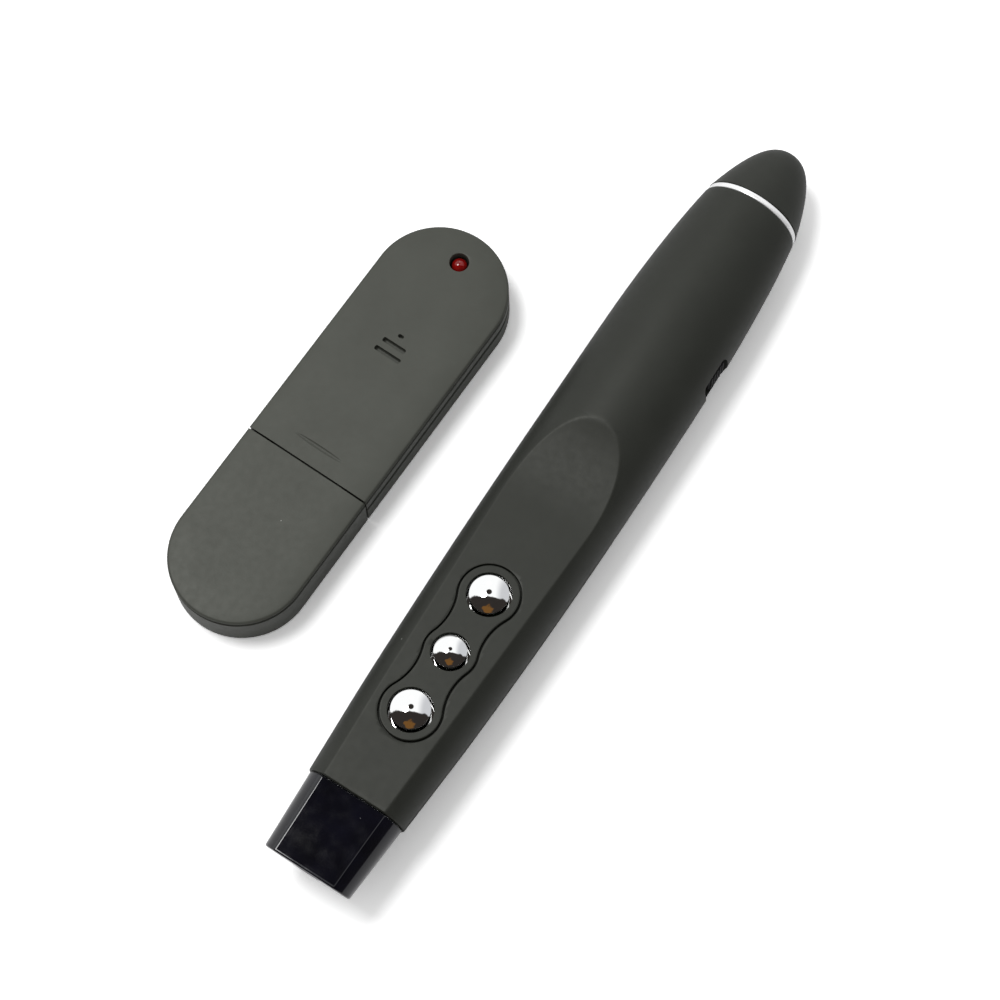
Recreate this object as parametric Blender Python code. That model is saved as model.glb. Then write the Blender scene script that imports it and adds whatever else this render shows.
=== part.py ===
"""A laser presenter pen and the plug-in receiver that belongs to it, at rest on a table.

The pen lies along X with its nose at +X, the receiver lies beside it at -Y.
All sizes are in metres. Each shape is worked out in the frame of its own device:
the pen's frame starts under the middle of the pen, the receiver's under its own middle.
"""

import math

import bmesh
import bpy
from mathutils import Matrix, Vector

# Clearances
PART_GAP = 0.0003
SEAT_GAP = 0.00015
OVERRUN = 0.002

# Pen, overall
PEN_LENGTH = 0.137
BODY_WIDTH = 0.0203
BODY_HEIGHT = 0.0158
BELLY_FLAT = 0.00035
NOSE_RISE = 0.0026
SHELL_WALL = 0.0013
TAIL_CAP_LENGTH = 0.01205
RING_WIDTH = 0.0008
NOSE_LENGTH = 0.0131

# Place along the body from the ring, and half width there, as shares of body length and body width
BODY_WIDTH_SHARES = (
    (0.0, 0.775),
    (0.04, 0.838),
    (0.08, 0.888),
    (0.14, 0.941),
    (0.20, 0.975),
    (0.28, 0.996),
    (0.36, 1.0),
    (0.50, 1.0),
    (0.62, 0.988),
    (0.74, 0.958),
    (0.86, 0.911),
    (0.94, 0.862),
    (1.0, 0.823),
)
BODY_STATIONS = 16
BODY_SIDES = 36
CORE_STATIONS = 9
CORE_SIDES = 24

# Thumb face: a plane that climbs to the nose, and a concave run-out at its rear
THUMB_FACE_DROP = 0.0030
THUMB_FACE_LENGTH = 0.0511875
THUMB_FACE_CLIMB = 0.0014
THUMB_SCOOP_RADIUS = 0.044
THUMB_SCOOP_STEPS = 12
DECK_THICKNESS = 0.0022

# Keypad
BUTTON_SPACING = 0.0105
END_BUTTON_DIAMETER = 0.0063
LASER_BUTTON_DIAMETER = 0.0053
BUTTON_PROUD = 0.0015
BUTTON_SKIRT_PROUD = 0.0006
BUTTON_TRAVEL = 0.0005
BUTTON_FLANGE = 0.0006
BUTTON_FLANGE_THICKNESS = 0.0006
BUTTON_STEM_DIAMETER = 0.0032
BUTTON_STEM_LENGTH = 0.0004
BUTTON_SIDES = 24
KEYPAD_THICKNESS = 0.0012
KEYPAD_PROUD = 0.0002
KEYPAD_END_RADIUS = 0.0046
KEYPAD_MIDDLE_RADIUS = 0.0040
KEYPAD_NECK_RADIUS = 0.009
KEYPAD_ARC_STEPS = 8

# Boards and what is on them
BOARD_THICKNESS = 0.001
BOARD_END_MARGIN = 0.00225
BOARD_WIDTH = 0.014
BOARD_POST_DIAMETER = 0.0034
BOARD_POST_INSET = 0.0019
BOARD_SCREW_HEAD_DIAMETER = 0.0028
BOARD_SCREW_HEAD_HEIGHT = 0.0008
BOARD_SCREW_SHANK_DIAMETER = 0.0012
BOARD_SCREW_LENGTH = 0.0034
TACT_SIDE = 0.0045
TACT_BODY_HEIGHT = 0.0014
TACT_ACTUATOR_SIDE = 0.0024
TACT_ACTUATOR_HEIGHT = 0.0004
TACT_SLACK = 0.0001
CHIP_SIDE = 0.0045
CHIP_HEIGHT = 0.0009
CRYSTAL_LENGTH = 0.0036
CRYSTAL_WIDTH = 0.0028
CRYSTAL_HEIGHT = 0.0009

# Battery bay
CELL_DIAMETER = 0.0105
CELL_NUB_DIAMETER = 0.0038
CELL_NUB_LENGTH = 0.0009
CELL_OFFSET = 0.0012
CELL_SIDES = 28
CONTACT_THICKNESS = 0.00035
CONTACT_WIDTH = 0.0072
CONTACT_HEIGHT = 0.0064
SPRING_LENGTH = 0.0037
SPRING_WIDE_DIAMETER = 0.0056
SPRING_NARROW_DIAMETER = 0.0042
SPRING_WIRE = 0.0005
SPRING_TURNS = 4
SPRING_STEPS = 10
BULKHEAD_THICKNESS = 0.0011
BULKHEAD_FROM_TAIL_SPIGOT = 0.0003
RIB_THICKNESS = 0.0012
RIB_DEPTH_BELOW_AXIS = 0.0027
DOOR_WIDTH = 0.0132
DOOR_HEIGHT = 0.0042
DOOR_CORNER_RADIUS = 0.0018
DOOR_REAR_MARGIN = 0.0004
DOOR_NAIL_NOTCH_RADIUS = 0.0025
DOOR_NAIL_NOTCH_DEPTH = 0.0006
TAB_WIDTH = 0.0018
TAB_SPACING = 0.0038
TAB_REACH = 0.0020
TAB_THICKNESS = 0.0008
TAB_ROOT = 0.0014

# Side power switch
KNOB_PLACE_SHARE = 0.41236
KNOB_TRAVEL = 0.002
KNOB_LENGTH = 0.0040
KNOB_HEIGHT = 0.0048
KNOB_RECESS = 0.0006
KNOB_RIBS = 5
KNOB_RIB_SHARE = 0.5
KNOB_RIB_HEIGHT = 0.0003
SLOT_CORNER_RADIUS = 0.0010
SWITCH_BODY_LENGTH = 0.0086
SWITCH_BODY_HEIGHT = 0.0044
SWITCH_BODY_DEPTH = 0.0026
SWITCH_BOARD_THICKNESS = 0.0008
SWITCH_BOARD_HEIGHT = 0.0062
SWITCH_BAY_LENGTH = 0.0135

# Case screws
CASE_SCREW_HEAD_DIAMETER = 0.0030
CASE_SCREW_HEAD_HEIGHT = 0.0012
CASE_SCREW_SHANK_DIAMETER = 0.0014
CASE_SCREW_SHANK_LENGTH = 0.0072
CASE_BOSS_DIAMETER = 0.0046
CASE_BOSS_FLOOR = 0.0012
CASE_POST_DIAMETER = 0.0042
REAR_SCREW_FROM_SPLIT = 0.0050
REAR_SCREW_FROM_BOARD = 0.00975
FRONT_SCREW_FROM_BOARD = 0.00255
FRONT_SCREW_FROM_NOSE = 0.0078
SCREW_SIDES = 20

# Nose and laser
NOSE_INSET = 0.0003
NOSE_FRONT_WIDTH = 0.0146
NOSE_FRONT_HEIGHT = 0.01001
NOSE_BACK_HEIGHT_SHARE = 0.867068
NOSE_FACE_DROP = 0.0009
NOSE_WALL = 0.0012
NOSE_SPIGOT_LENGTH = 0.003
NOSE_STATIONS = 4
LASER_ABOVE_AXIS = 0.00195
LASER_APERTURE_DIAMETER = 0.0044
BARREL_DIAMETER = 0.006
BARREL_LENGTH = 0.0145
BARREL_SETBACK = 0.0014
BARREL_BORE_DIAMETER = 0.0048
BARREL_COLLAR_DEPTH = 0.003
BARREL_COLLAR_WALL = 0.0008
DIODE_LENGTH = 0.0032
LENS_THICKNESS = 0.0016
LENS_EDGE = 0.0006
LENS_RECESS = 0.001
DRIVER_BOARD_DIAMETER = 0.0058
DRIVER_BOARD_THICKNESS = 0.0008
CRADLE_THICKNESS = 0.0014

# Tail
CAP_STATIONS = 8
CAP_POINTEDNESS = 2.5
RING_LEAN_DEGREES = 6.2
SPIGOT_LENGTH = 0.0021
SPIGOT_WALL = 0.001

# Receiver
RECEIVER_LENGTH = 0.0743
RECEIVER_WIDTH = 0.022
RECEIVER_HEIGHT = 0.0080
RECEIVER_WALL = 0.0012
RECEIVER_EDGE_RADIUS = 0.0005
RECEIVER_SEAM_HEIGHT = 0.0044
RECEIVER_END_STEPS = 24
CAP_LENGTH = 0.0282
CAP_POCKET_DEPTH = 0.0222
RECEIVER_ANGLE_DEGREES = 178.2
RECEIVER_AHEAD = 0.0071
RECEIVER_ASIDE = 0.0355
STATUS_HOLE_DIAMETER = 0.0031
STATUS_HOLE_FROM_END = 0.0053
STATUS_LIGHT_DIAMETER = 0.0025
STATUS_LIGHT_RECESS = 0.0004
GROOVE_WIDTH = 0.0006
GROOVE_DEPTH = 0.0005
GROOVES_FROM_MIDDLE = 0.0129
GROOVE_SPACING = 0.0018
GROOVE_LENGTHS = (0.0047, 0.0041, 0.0010)
PLUG_WIDTH = 0.0120
PLUG_HEIGHT = 0.0045
PLUG_PROUD = 0.0122
PLUG_INSIDE = 0.0060
PLUG_SHEET = 0.0003
PLUG_WINDOW_SIDE = 0.0024
PLUG_WINDOW_SPACING = 0.0055
PLUG_WINDOW_FROM_MOUTH = 0.0052
TONGUE_THICKNESS = 0.0018
TONGUE_SETBACK = 0.0006
PLUG_CONTACT_WIDTH = 0.0011
PLUG_CONTACT_LENGTH = 0.0075
PLUG_CONTACT_THICKNESS = 0.0002
PLUG_CONTACT_SPACING = 0.0023
PLUG_CONTACTS = 4
RECEIVER_BOARD_WIDTH = 0.0150
RECEIVER_RAIL_WIDTH = 0.0022

HALF_TURN = math.pi
FULL_TURN = 2 * math.pi
SMOOTH_ANGLE = math.radians(32)
ORIGIN = Vector((0, 0, 0))

# Places along the pen that follow from the sizes above
TAIL_X = -PEN_LENGTH / 2
RING_X = TAIL_X + TAIL_CAP_LENGTH
BODY_X = RING_X + RING_WIDTH
NOSE_X = PEN_LENGTH / 2
SHELL_FRONT_X = NOSE_X - NOSE_LENGTH
BODY_LENGTH = SHELL_FRONT_X - RING_X
HALF_WIDTH = BODY_WIDTH / 2
HALF_HEIGHT = BODY_HEIGHT / 2
AXIS_HEIGHT = HALF_HEIGHT - BELLY_FLAT
LASER_AXIS_HEIGHT = AXIS_HEIGHT + LASER_ABOVE_AXIS
RING_LEAN = math.tan(math.radians(RING_LEAN_DEGREES))

# Thumb face
FACE_START_X = SHELL_FRONT_X - THUMB_FACE_LENGTH
THUMB_FACE_HEIGHT = BODY_HEIGHT - THUMB_FACE_DROP
FACE_SLOPE = THUMB_FACE_CLIMB / (SHELL_FRONT_X - FACE_START_X)
FACE_ANGLE = math.atan(FACE_SLOPE)

# The board carries the three switches between the case screws, and the split lies behind the rear one
BOARD_LENGTH = 2 * BUTTON_SPACING + TACT_SIDE + 2 * BOARD_END_MARGIN
FRONT_SCREW_X = SHELL_FRONT_X - FRONT_SCREW_FROM_NOSE
LASER_BUTTON_X = FRONT_SCREW_X - FRONT_SCREW_FROM_BOARD - BOARD_LENGTH / 2
REAR_SCREW_X = LASER_BUTTON_X - BOARD_LENGTH / 2 - REAR_SCREW_FROM_BOARD
SPLIT_X = REAR_SCREW_X - REAR_SCREW_FROM_SPLIT

# Keypad stack, measured down from the thumb face
FLANGE_TOP = -DECK_THICKNESS - SEAT_GAP
STEM_BOTTOM = FLANGE_TOP - BUTTON_FLANGE_THICKNESS - BUTTON_STEM_LENGTH
TACT_TOP = STEM_BOTTOM - BUTTON_TRAVEL - TACT_SLACK
BOARD_TOP = TACT_TOP - TACT_ACTUATOR_HEIGHT - TACT_BODY_HEIGHT - SEAT_GAP
BOARD_BOTTOM = BOARD_TOP - BOARD_THICKNESS

# Battery bay, from the front end of the door back and from the tail cap's spigot on: the cell takes the rest
DOOR_FRONT_X = SPLIT_X - PART_GAP
BAY_FRONT_X = DOOR_FRONT_X - TAB_ROOT - BULKHEAD_THICKNESS
POSITIVE_X = BAY_FRONT_X - SEAT_GAP
CELL_FRONT_X = POSITIVE_X - CONTACT_THICKNESS - SEAT_GAP
BAY_REAR_X = BODY_X + SPIGOT_LENGTH + BULKHEAD_FROM_TAIL_SPIGOT + BULKHEAD_THICKNESS
NEGATIVE_X = BAY_REAR_X + SEAT_GAP + CONTACT_THICKNESS
SPRING_X = NEGATIVE_X + SEAT_GAP + SPRING_LENGTH
CELL_REAR_X = SPRING_X + SEAT_GAP
CELL_LENGTH = CELL_FRONT_X - CELL_REAR_X
DOOR_REAR_X = BAY_REAR_X + DOOR_REAR_MARGIN
CELL_CLEAR_RADIUS = CELL_DIAMETER / 2 + PART_GAP

# Side power switch, beside the cell
KNOB_X = CELL_REAR_X + KNOB_PLACE_SHARE * CELL_LENGTH

# Receiver
RECEIVER_RADIUS = RECEIVER_WIDTH / 2
CAP_JOINT_X = CAP_LENGTH - RECEIVER_LENGTH / 2
RECEIVER_BODY_X = CAP_JOINT_X + PART_GAP
PLUG_MOUTH_X = RECEIVER_BODY_X - PLUG_PROUD
PLUG_REAR_X = RECEIVER_BODY_X + PLUG_INSIDE
PLUG_MIDDLE_Z = RECEIVER_HEIGHT / 2
STATUS_X = RECEIVER_LENGTH / 2 - STATUS_HOLE_FROM_END
RECEIVER_BOARD_TOP = RECEIVER_SEAM_HEIGHT - PART_GAP
RECEIVER_BOARD_BOTTOM = RECEIVER_BOARD_TOP - BOARD_THICKNESS


def clear_scene():
    for obj in list(bpy.data.objects):
        bpy.data.objects.remove(obj, do_unlink=True)


def finish(name, colour, roughness, metallic=0.0, alpha=1.0):
    made = bpy.data.materials.new(name)
    made.use_nodes = True
    shader = made.node_tree.nodes["Principled BSDF"]
    shader.inputs["Base Color"].default_value = (*colour, 1.0)
    shader.inputs["Roughness"].default_value = roughness
    shader.inputs["Metallic"].default_value = metallic
    shader.inputs["Alpha"].default_value = alpha
    return made


def empty(name, place, turn=(0, 0, 0), parent=None):
    made = bpy.data.objects.new(name, None)
    bpy.context.scene.collection.objects.link(made)
    made.location = place
    made.rotation_euler = turn
    made.parent = parent
    made.empty_display_size = BODY_WIDTH
    return made


def add(name, bm, parent, material, place=ORIGIN):
    """Turns a bmesh, drawn about its own origin, into a shaded object at a place in its parent's frame."""
    bmesh.ops.recalc_face_normals(bm, faces=bm.faces)
    mesh = bpy.data.meshes.new(name)
    bm.to_mesh(mesh)
    bm.free()
    mesh.shade_smooth()
    mesh.set_sharp_from_angle(angle=SMOOTH_ANGLE)
    made = bpy.data.objects.new(name, mesh)
    bpy.context.scene.collection.objects.link(made)
    made.parent = parent
    made.location = place
    if material:
        mesh.materials.append(material)
    return made


def helper(name, bm, parent, place=ORIGIN):
    """An object that only cuts or joins others."""
    made = add(name, bm, parent, None, place)
    made.hide_render = True
    made.display_type = "WIRE"
    return made


def combine(target, tool, operation):
    boolean = target.modifiers.new(f"{operation.lower()} {tool.name}", "BOOLEAN")
    boolean.operation = operation
    boolean.solver = "EXACT"
    boolean.object = tool


def cut(target, *tools):
    for tool in tools:
        combine(target, tool, "DIFFERENCE")


def join(target, *tools):
    for tool in tools:
        combine(target, tool, "UNION")


def share_at(table, at):
    """Reads a table of (place, size) shares along a smooth curve through its points."""
    places = [place for place, _ in table]
    sizes = [size for _, size in table]
    steps = [(sizes[k + 1] - sizes[k]) / (places[k + 1] - places[k]) for k in range(len(table) - 1)]
    slopes = [steps[0]] + [(a + b) / 2 for a, b in zip(steps, steps[1:])] + [steps[-1]]
    k = 0
    while k < len(steps) - 1 and at > places[k + 1]:
        k += 1
    span = places[k + 1] - places[k]
    t = (at - places[k]) / span
    start = (2 * t**3 - 3 * t**2 + 1) * sizes[k] + (t**3 - 2 * t**2 + t) * span * slopes[k]
    end = (3 * t**2 - 2 * t**3) * sizes[k + 1] + (t**3 - t**2) * span * slopes[k + 1]
    return start + end


def half_width_at(x):
    along = (x - RING_X) / BODY_LENGTH
    if x > SHELL_FRONT_X:
        front_share = (x - SHELL_FRONT_X) / NOSE_LENGTH
        back = HALF_WIDTH * BODY_WIDTH_SHARES[-1][1] - NOSE_INSET
        return back + (NOSE_FRONT_WIDTH / 2 - back) * front_share
    return HALF_WIDTH * share_at(BODY_WIDTH_SHARES, max(along, 0))


def half_height_at(x):
    return half_width_at(x) * HALF_HEIGHT / HALF_WIDTH


def half_nose_height_at(x):
    back = half_height_at(SHELL_FRONT_X) * NOSE_BACK_HEIGHT_SHARE
    return back + (NOSE_FRONT_HEIGHT / 2 - back) * (x - SHELL_FRONT_X) / NOSE_LENGTH


def axis_z(x):
    """Height of the body's axis: level to the middle, then climbing to the nose."""
    return AXIS_HEIGHT + NOSE_RISE * (max(x, 0) / NOSE_X) ** 2


def face_z(x):
    """Height of the thumb face's plane."""
    return THUMB_FACE_HEIGHT + FACE_SLOPE * (x - FACE_START_X)


def ellipse(x, half_width, half_height, middle_z, sides, lean=0.0):
    """One section across the pen. A lean carries its top towards the tail."""
    points = []
    for k in range(sides):
        angle = FULL_TURN * (k + 0.5) / sides
        z = middle_z + half_height * math.sin(angle)
        points.append(Vector((x - lean * (z - middle_z), half_width * math.cos(angle), z)))
    return points


def skin(rings):
    """Closed loft through rings of as many points each."""
    bm = bmesh.new()
    loops = [[bm.verts.new(point) for point in ring] for ring in rings]
    for near, far in zip(loops, loops[1:]):
        for k in range(len(near)):
            after = (k + 1) % len(near)
            bm.faces.new((near[k], near[after], far[after], far[k]))
    bm.faces.new(loops[0])
    bm.faces.new(loops[-1])
    return bm


def body_loft(start, end, inset, stations, sides, lean=0.0):
    """The pen's body between two places, drawn in by an inset all round. Only its rear end leans."""
    rings = []
    for k in range(stations + 1):
        x = start + (end - start) * k / stations
        inside = min(max(x, RING_X), SHELL_FRONT_X)
        wide = half_width_at(inside) - inset
        high = half_height_at(inside) - inset
        rings.append(ellipse(x, wide, high, axis_z(x), sides, 0 if k else lean))
    return skin(rings)


def prism(outline, offset, axis="Z"):
    """An outline of (a, b) points pulled along an axis from offset[0] to offset[1]."""
    place = {
        "Z": lambda a, b, c: (a, b, c),
        "Y": lambda a, b, c: (a, c, b),
        "X": lambda a, b, c: (c, a, b),
    }[axis]
    bm = bmesh.new()
    low = [bm.verts.new(place(a, b, offset[0])) for a, b in outline]
    floor = bm.faces.new(low)
    pulled = bmesh.ops.extrude_face_region(bm, geom=[floor])
    moved = [item for item in pulled["geom"] if isinstance(item, bmesh.types.BMVert)]
    bmesh.ops.translate(bm, verts=moved, vec=Vector(place(0, 0, offset[1] - offset[0])))
    return bm


def box(x, y, z):
    """A box between three pairs of limits."""
    bm = bmesh.new()
    add_box(bm, x, y, z)
    return bm


def add_box(bm, x, y, z):
    size = Vector((x[1] - x[0], y[1] - y[0], z[1] - z[0]))
    middle = Vector((x[1] + x[0], y[1] + y[0], z[1] + z[0])) / 2
    matrix = Matrix.Translation(middle) @ Matrix.Diagonal((*size, 1))
    return bmesh.ops.create_cube(bm, size=1, matrix=matrix)["verts"]


def gather(pieces):
    """Puts separate solids, drawn in one frame, into one bmesh."""
    holder = bpy.data.meshes.new("gathered")
    whole = bmesh.new()
    for piece in pieces:
        bmesh.ops.recalc_face_normals(piece, faces=piece.faces)
        piece.to_mesh(holder)
        piece.free()
        whole.from_mesh(holder)
    bpy.data.meshes.remove(holder)
    return whole


def placed(bm, matrix):
    bmesh.ops.transform(bm, matrix=matrix, verts=bm.verts)
    return bm


def on_deck(x, y):
    """Where a point of the tilted deck lies in the pen's frame."""
    tilt = Matrix.Translation((LASER_BUTTON_X, 0, face_z(LASER_BUTTON_X))) @ Matrix.Rotation(-FACE_ANGLE, 4, "Y")
    return tilt @ Matrix.Translation((x, y, 0))


def around(middle, size):
    return (middle - size / 2, middle + size / 2)


def rounded_box(x, y, z, radius, axis="Z"):
    """A box whose edges along one axis are rounded."""
    bm = box(x, y, z)
    index = "XYZ".index(axis)
    along = [
        edge
        for edge in bm.edges
        if abs((edge.verts[0].co - edge.verts[1].co).normalized()[index]) > 0.9
    ]
    bmesh.ops.bevel(bm, geom=along, offset=radius, segments=4, profile=0.5, affect="EDGES")
    return bm


def lathe(profile, sides, axis="Z"):
    """Turns a profile of (radius, height) points, first and last on the axis, into a solid."""
    bm = bmesh.new()
    points = [bm.verts.new((radius, 0, height)) for radius, height in profile]
    edges = [bm.edges.new(pair) for pair in zip(points, points[1:])]
    bmesh.ops.spin(
        bm,
        geom=points + edges,
        cent=ORIGIN,
        axis=Vector((0, 0, 1)),
        angle=FULL_TURN,
        steps=sides,
        use_merge=True,
        use_duplicate=False,
    )
    bmesh.ops.remove_doubles(bm, verts=bm.verts, dist=PART_GAP / 1000)
    if axis == "X":
        bmesh.ops.rotate(bm, verts=bm.verts, cent=ORIGIN, matrix=Matrix.Rotation(HALF_TURN / 2, 3, "Y"))
    return bm


def rod(radius, start, end, sides, axis="Z"):
    return lathe([(0, end), (radius, end), (radius, start), (0, start)], sides, axis)


def arc(centre, radius, start, end, steps):
    """Points of an arc, both ends included."""
    return [
        (
            centre[0] + radius * math.cos(start + (end - start) * k / steps),
            centre[1] + radius * math.sin(start + (end - start) * k / steps),
        )
        for k in range(steps + 1)
    ]


def scoop_outline(lower):
    """Side profile of what the thumb scoop takes off, lowered for the deck's underside."""
    level = face_z(FACE_START_X) - lower
    centre_x = FACE_START_X - THUMB_SCOOP_RADIUS * math.sin(FACE_ANGLE)
    centre_z = level + THUMB_SCOOP_RADIUS * math.cos(FACE_ANGLE)
    top = level + BODY_HEIGHT
    sweep = math.acos(1 - (BODY_HEIGHT / 2) / THUMB_SCOOP_RADIUS)
    start = -HALF_TURN / 2 - sweep
    end = -HALF_TURN / 2 + FACE_ANGLE
    curve = arc((centre_x, centre_z), THUMB_SCOOP_RADIUS, start, end, THUMB_SCOOP_STEPS)
    front = SHELL_FRONT_X + OVERRUN
    return [(curve[0][0], top), *curve, (front, face_z(front) - lower), (front, top)]


def parting_outline(below):
    """Side profile of all that lies under the parting line ahead of the split, or above it."""
    steps = CORE_STATIONS
    start = SPLIT_X if below else SPLIT_X + PART_GAP / 2
    run = [start + (SHELL_FRONT_X + OVERRUN - start) * k / steps for k in range(steps + 1)]
    shift = PART_GAP / 2 if below else -PART_GAP / 2
    line = [(x, axis_z(x) + shift) for x in run]
    far = -OVERRUN if below else BODY_HEIGHT + NOSE_RISE + OVERRUN
    return [(line[0][0], far), *line, (line[-1][0], far)]


def keypad_outline(grow):
    """Three round lobes in line, joined by drawn-in necks that touch them smoothly."""
    end = KEYPAD_END_RADIUS + grow
    middle = KEYPAD_MIDDLE_RADIUS + grow
    neck = KEYPAD_NECK_RADIUS - grow
    reach = BUTTON_SPACING
    neck_x = (reach**2 + (middle + neck) ** 2 - (end + neck) ** 2) / (2 * reach)
    neck_y = math.sqrt((middle + neck) ** 2 - neck_x**2)
    end_angle = math.atan2(neck_y, neck_x - reach)
    middle_angle = math.atan2(neck_y, neck_x)
    steps = KEYPAD_ARC_STEPS
    right = arc((reach, 0), end, 0, end_angle, steps)
    right_neck = arc((neck_x, neck_y), neck, end_angle - HALF_TURN, middle_angle - HALF_TURN, steps)
    top = arc((0, 0), middle, middle_angle, HALF_TURN / 2, steps // 3)
    quarter = right + right_neck[1:-1] + top
    half = quarter + [(-a, b) for a, b in reversed(quarter[:-1])]
    return half + [(a, -b) for a, b in reversed(half[1:-1])]


def make_pen_shells(pen, deck, plastic):
    """The upper shell, the lower shell and the battery door, all cut from one body form."""
    belly_cut = helper(
        "belly_cut",
        box((TAIL_X, NOSE_X), (-BODY_WIDTH, BODY_WIDTH), (-BODY_HEIGHT, 0)),
        pen,
    )
    scoop_cut = helper("scoop_cut", prism(scoop_outline(0), (-BODY_WIDTH, BODY_WIDTH), "Y"), pen)
    deck_cut = helper(
        "deck_cut", prism(scoop_outline(DECK_THICKNESS), (-BODY_WIDTH, BODY_WIDTH), "Y"), pen
    )

    upper = add(
        "upper_shell",
        body_loft(BODY_X, SHELL_FRONT_X, 0, BODY_STATIONS, BODY_SIDES, RING_LEAN),
        pen,
        plastic,
    )
    upper_core = helper(
        "upper_core",
        body_loft(BODY_X - OVERRUN, SHELL_FRONT_X + OVERRUN, SHELL_WALL, CORE_STATIONS, CORE_SIDES),
        pen,
    )
    cut(upper_core, deck_cut, helper("inner_walls", gather([bay_walls(), *posts()]), pen))
    join(upper_core, cell_bore("upper_cell_bore", pen))
    under_front = helper("under_front", prism(parting_outline(True), (-BODY_WIDTH, BODY_WIDTH), "Y"), pen)
    opening = helper("door_opening", door_block(PART_GAP), pen)
    slot = helper("switch_slot", slot_block(), pen)
    pocket = helper(
        "keypad_pocket",
        prism(keypad_outline(PART_GAP), (KEYPAD_PROUD - KEYPAD_THICKNESS - SEAT_GAP, BODY_HEIGHT)),
        deck,
    )
    holes = [
        placed(
            rod(diameter / 2 + PART_GAP, -DECK_THICKNESS - OVERRUN, 0, BUTTON_SIDES),
            Matrix.Translation((place, 0, 0)),
        )
        for _, place, diameter in buttons()
    ]
    join(pocket, helper("button_holes", gather(holes), deck))
    cut(upper, belly_cut, scoop_cut, under_front, upper_core, opening, slot, pocket)

    lower = add(
        "lower_shell",
        body_loft(SPLIT_X + PART_GAP, SHELL_FRONT_X, 0, CORE_STATIONS, BODY_SIDES),
        pen,
        plastic,
    )
    lower_core = helper(
        "lower_core",
        body_loft(SPLIT_X - OVERRUN, SHELL_FRONT_X + OVERRUN, SHELL_WALL, CORE_STATIONS, CORE_SIDES),
        pen,
    )
    cradle_x = SHELL_FRONT_X - NOSE_SPIGOT_LENGTH - PART_GAP
    standing = [
        box(
            (cradle_x - CRADLE_THICKNESS, cradle_x),
            (-BODY_WIDTH, BODY_WIDTH),
            (-BODY_HEIGHT, BODY_HEIGHT),
        )
    ]
    for _, x in case_screws():
        boss = rod(CASE_BOSS_DIAMETER / 2, -BODY_HEIGHT, boss_top(x), SCREW_SIDES)
        standing.append(placed(boss, Matrix.Translation((x, 0, 0))))
    cut(lower_core, helper("cradle_and_bosses", gather(standing), pen))
    over_front = helper("over_front", prism(parting_outline(False), (-BODY_WIDTH, BODY_WIDTH), "Y"), pen)
    barrel_room = helper(
        "barrel_room",
        rod(
            BARREL_DIAMETER / 2 + SEAT_GAP,
            FRONT_SCREW_X + CASE_BOSS_DIAMETER / 2,
            NOSE_X,
            SCREW_SIDES,
            "X",
        ),
        pen,
        Vector((0, 0, LASER_AXIS_HEIGHT)),
    )
    holes = []
    for _, x in case_screws():
        profile = [
            (0, boss_top(x) + OVERRUN),
            (CASE_SCREW_SHANK_DIAMETER / 2 + PART_GAP, boss_top(x) + OVERRUN),
            (CASE_SCREW_SHANK_DIAMETER / 2 + PART_GAP, head_seat(x)),
            (CASE_SCREW_HEAD_DIAMETER / 2 + SEAT_GAP, head_seat(x)),
            (CASE_SCREW_HEAD_DIAMETER / 2 + SEAT_GAP, -OVERRUN),
            (0, -OVERRUN),
        ]
        holes.append(placed(lathe(profile, SCREW_SIDES), Matrix.Translation((x, 0, 0))))
    screw_holes = helper("case_screw_holes", gather(holes), pen)
    cut(lower, belly_cut, over_front, lower_core, barrel_room, screw_holes)
    cut(upper, barrel_room)

    make_battery_door(pen, plastic, belly_cut)


def door_block(grow):
    """The block that bounds the battery door in plan, or its opening when grown."""
    return rounded_box(
        (DOOR_REAR_X - grow, DOOR_FRONT_X + grow),
        around(0, DOOR_WIDTH + 2 * grow),
        (-BODY_HEIGHT, DOOR_HEIGHT + grow),
        DOOR_CORNER_RADIUS + grow,
    )


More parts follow.
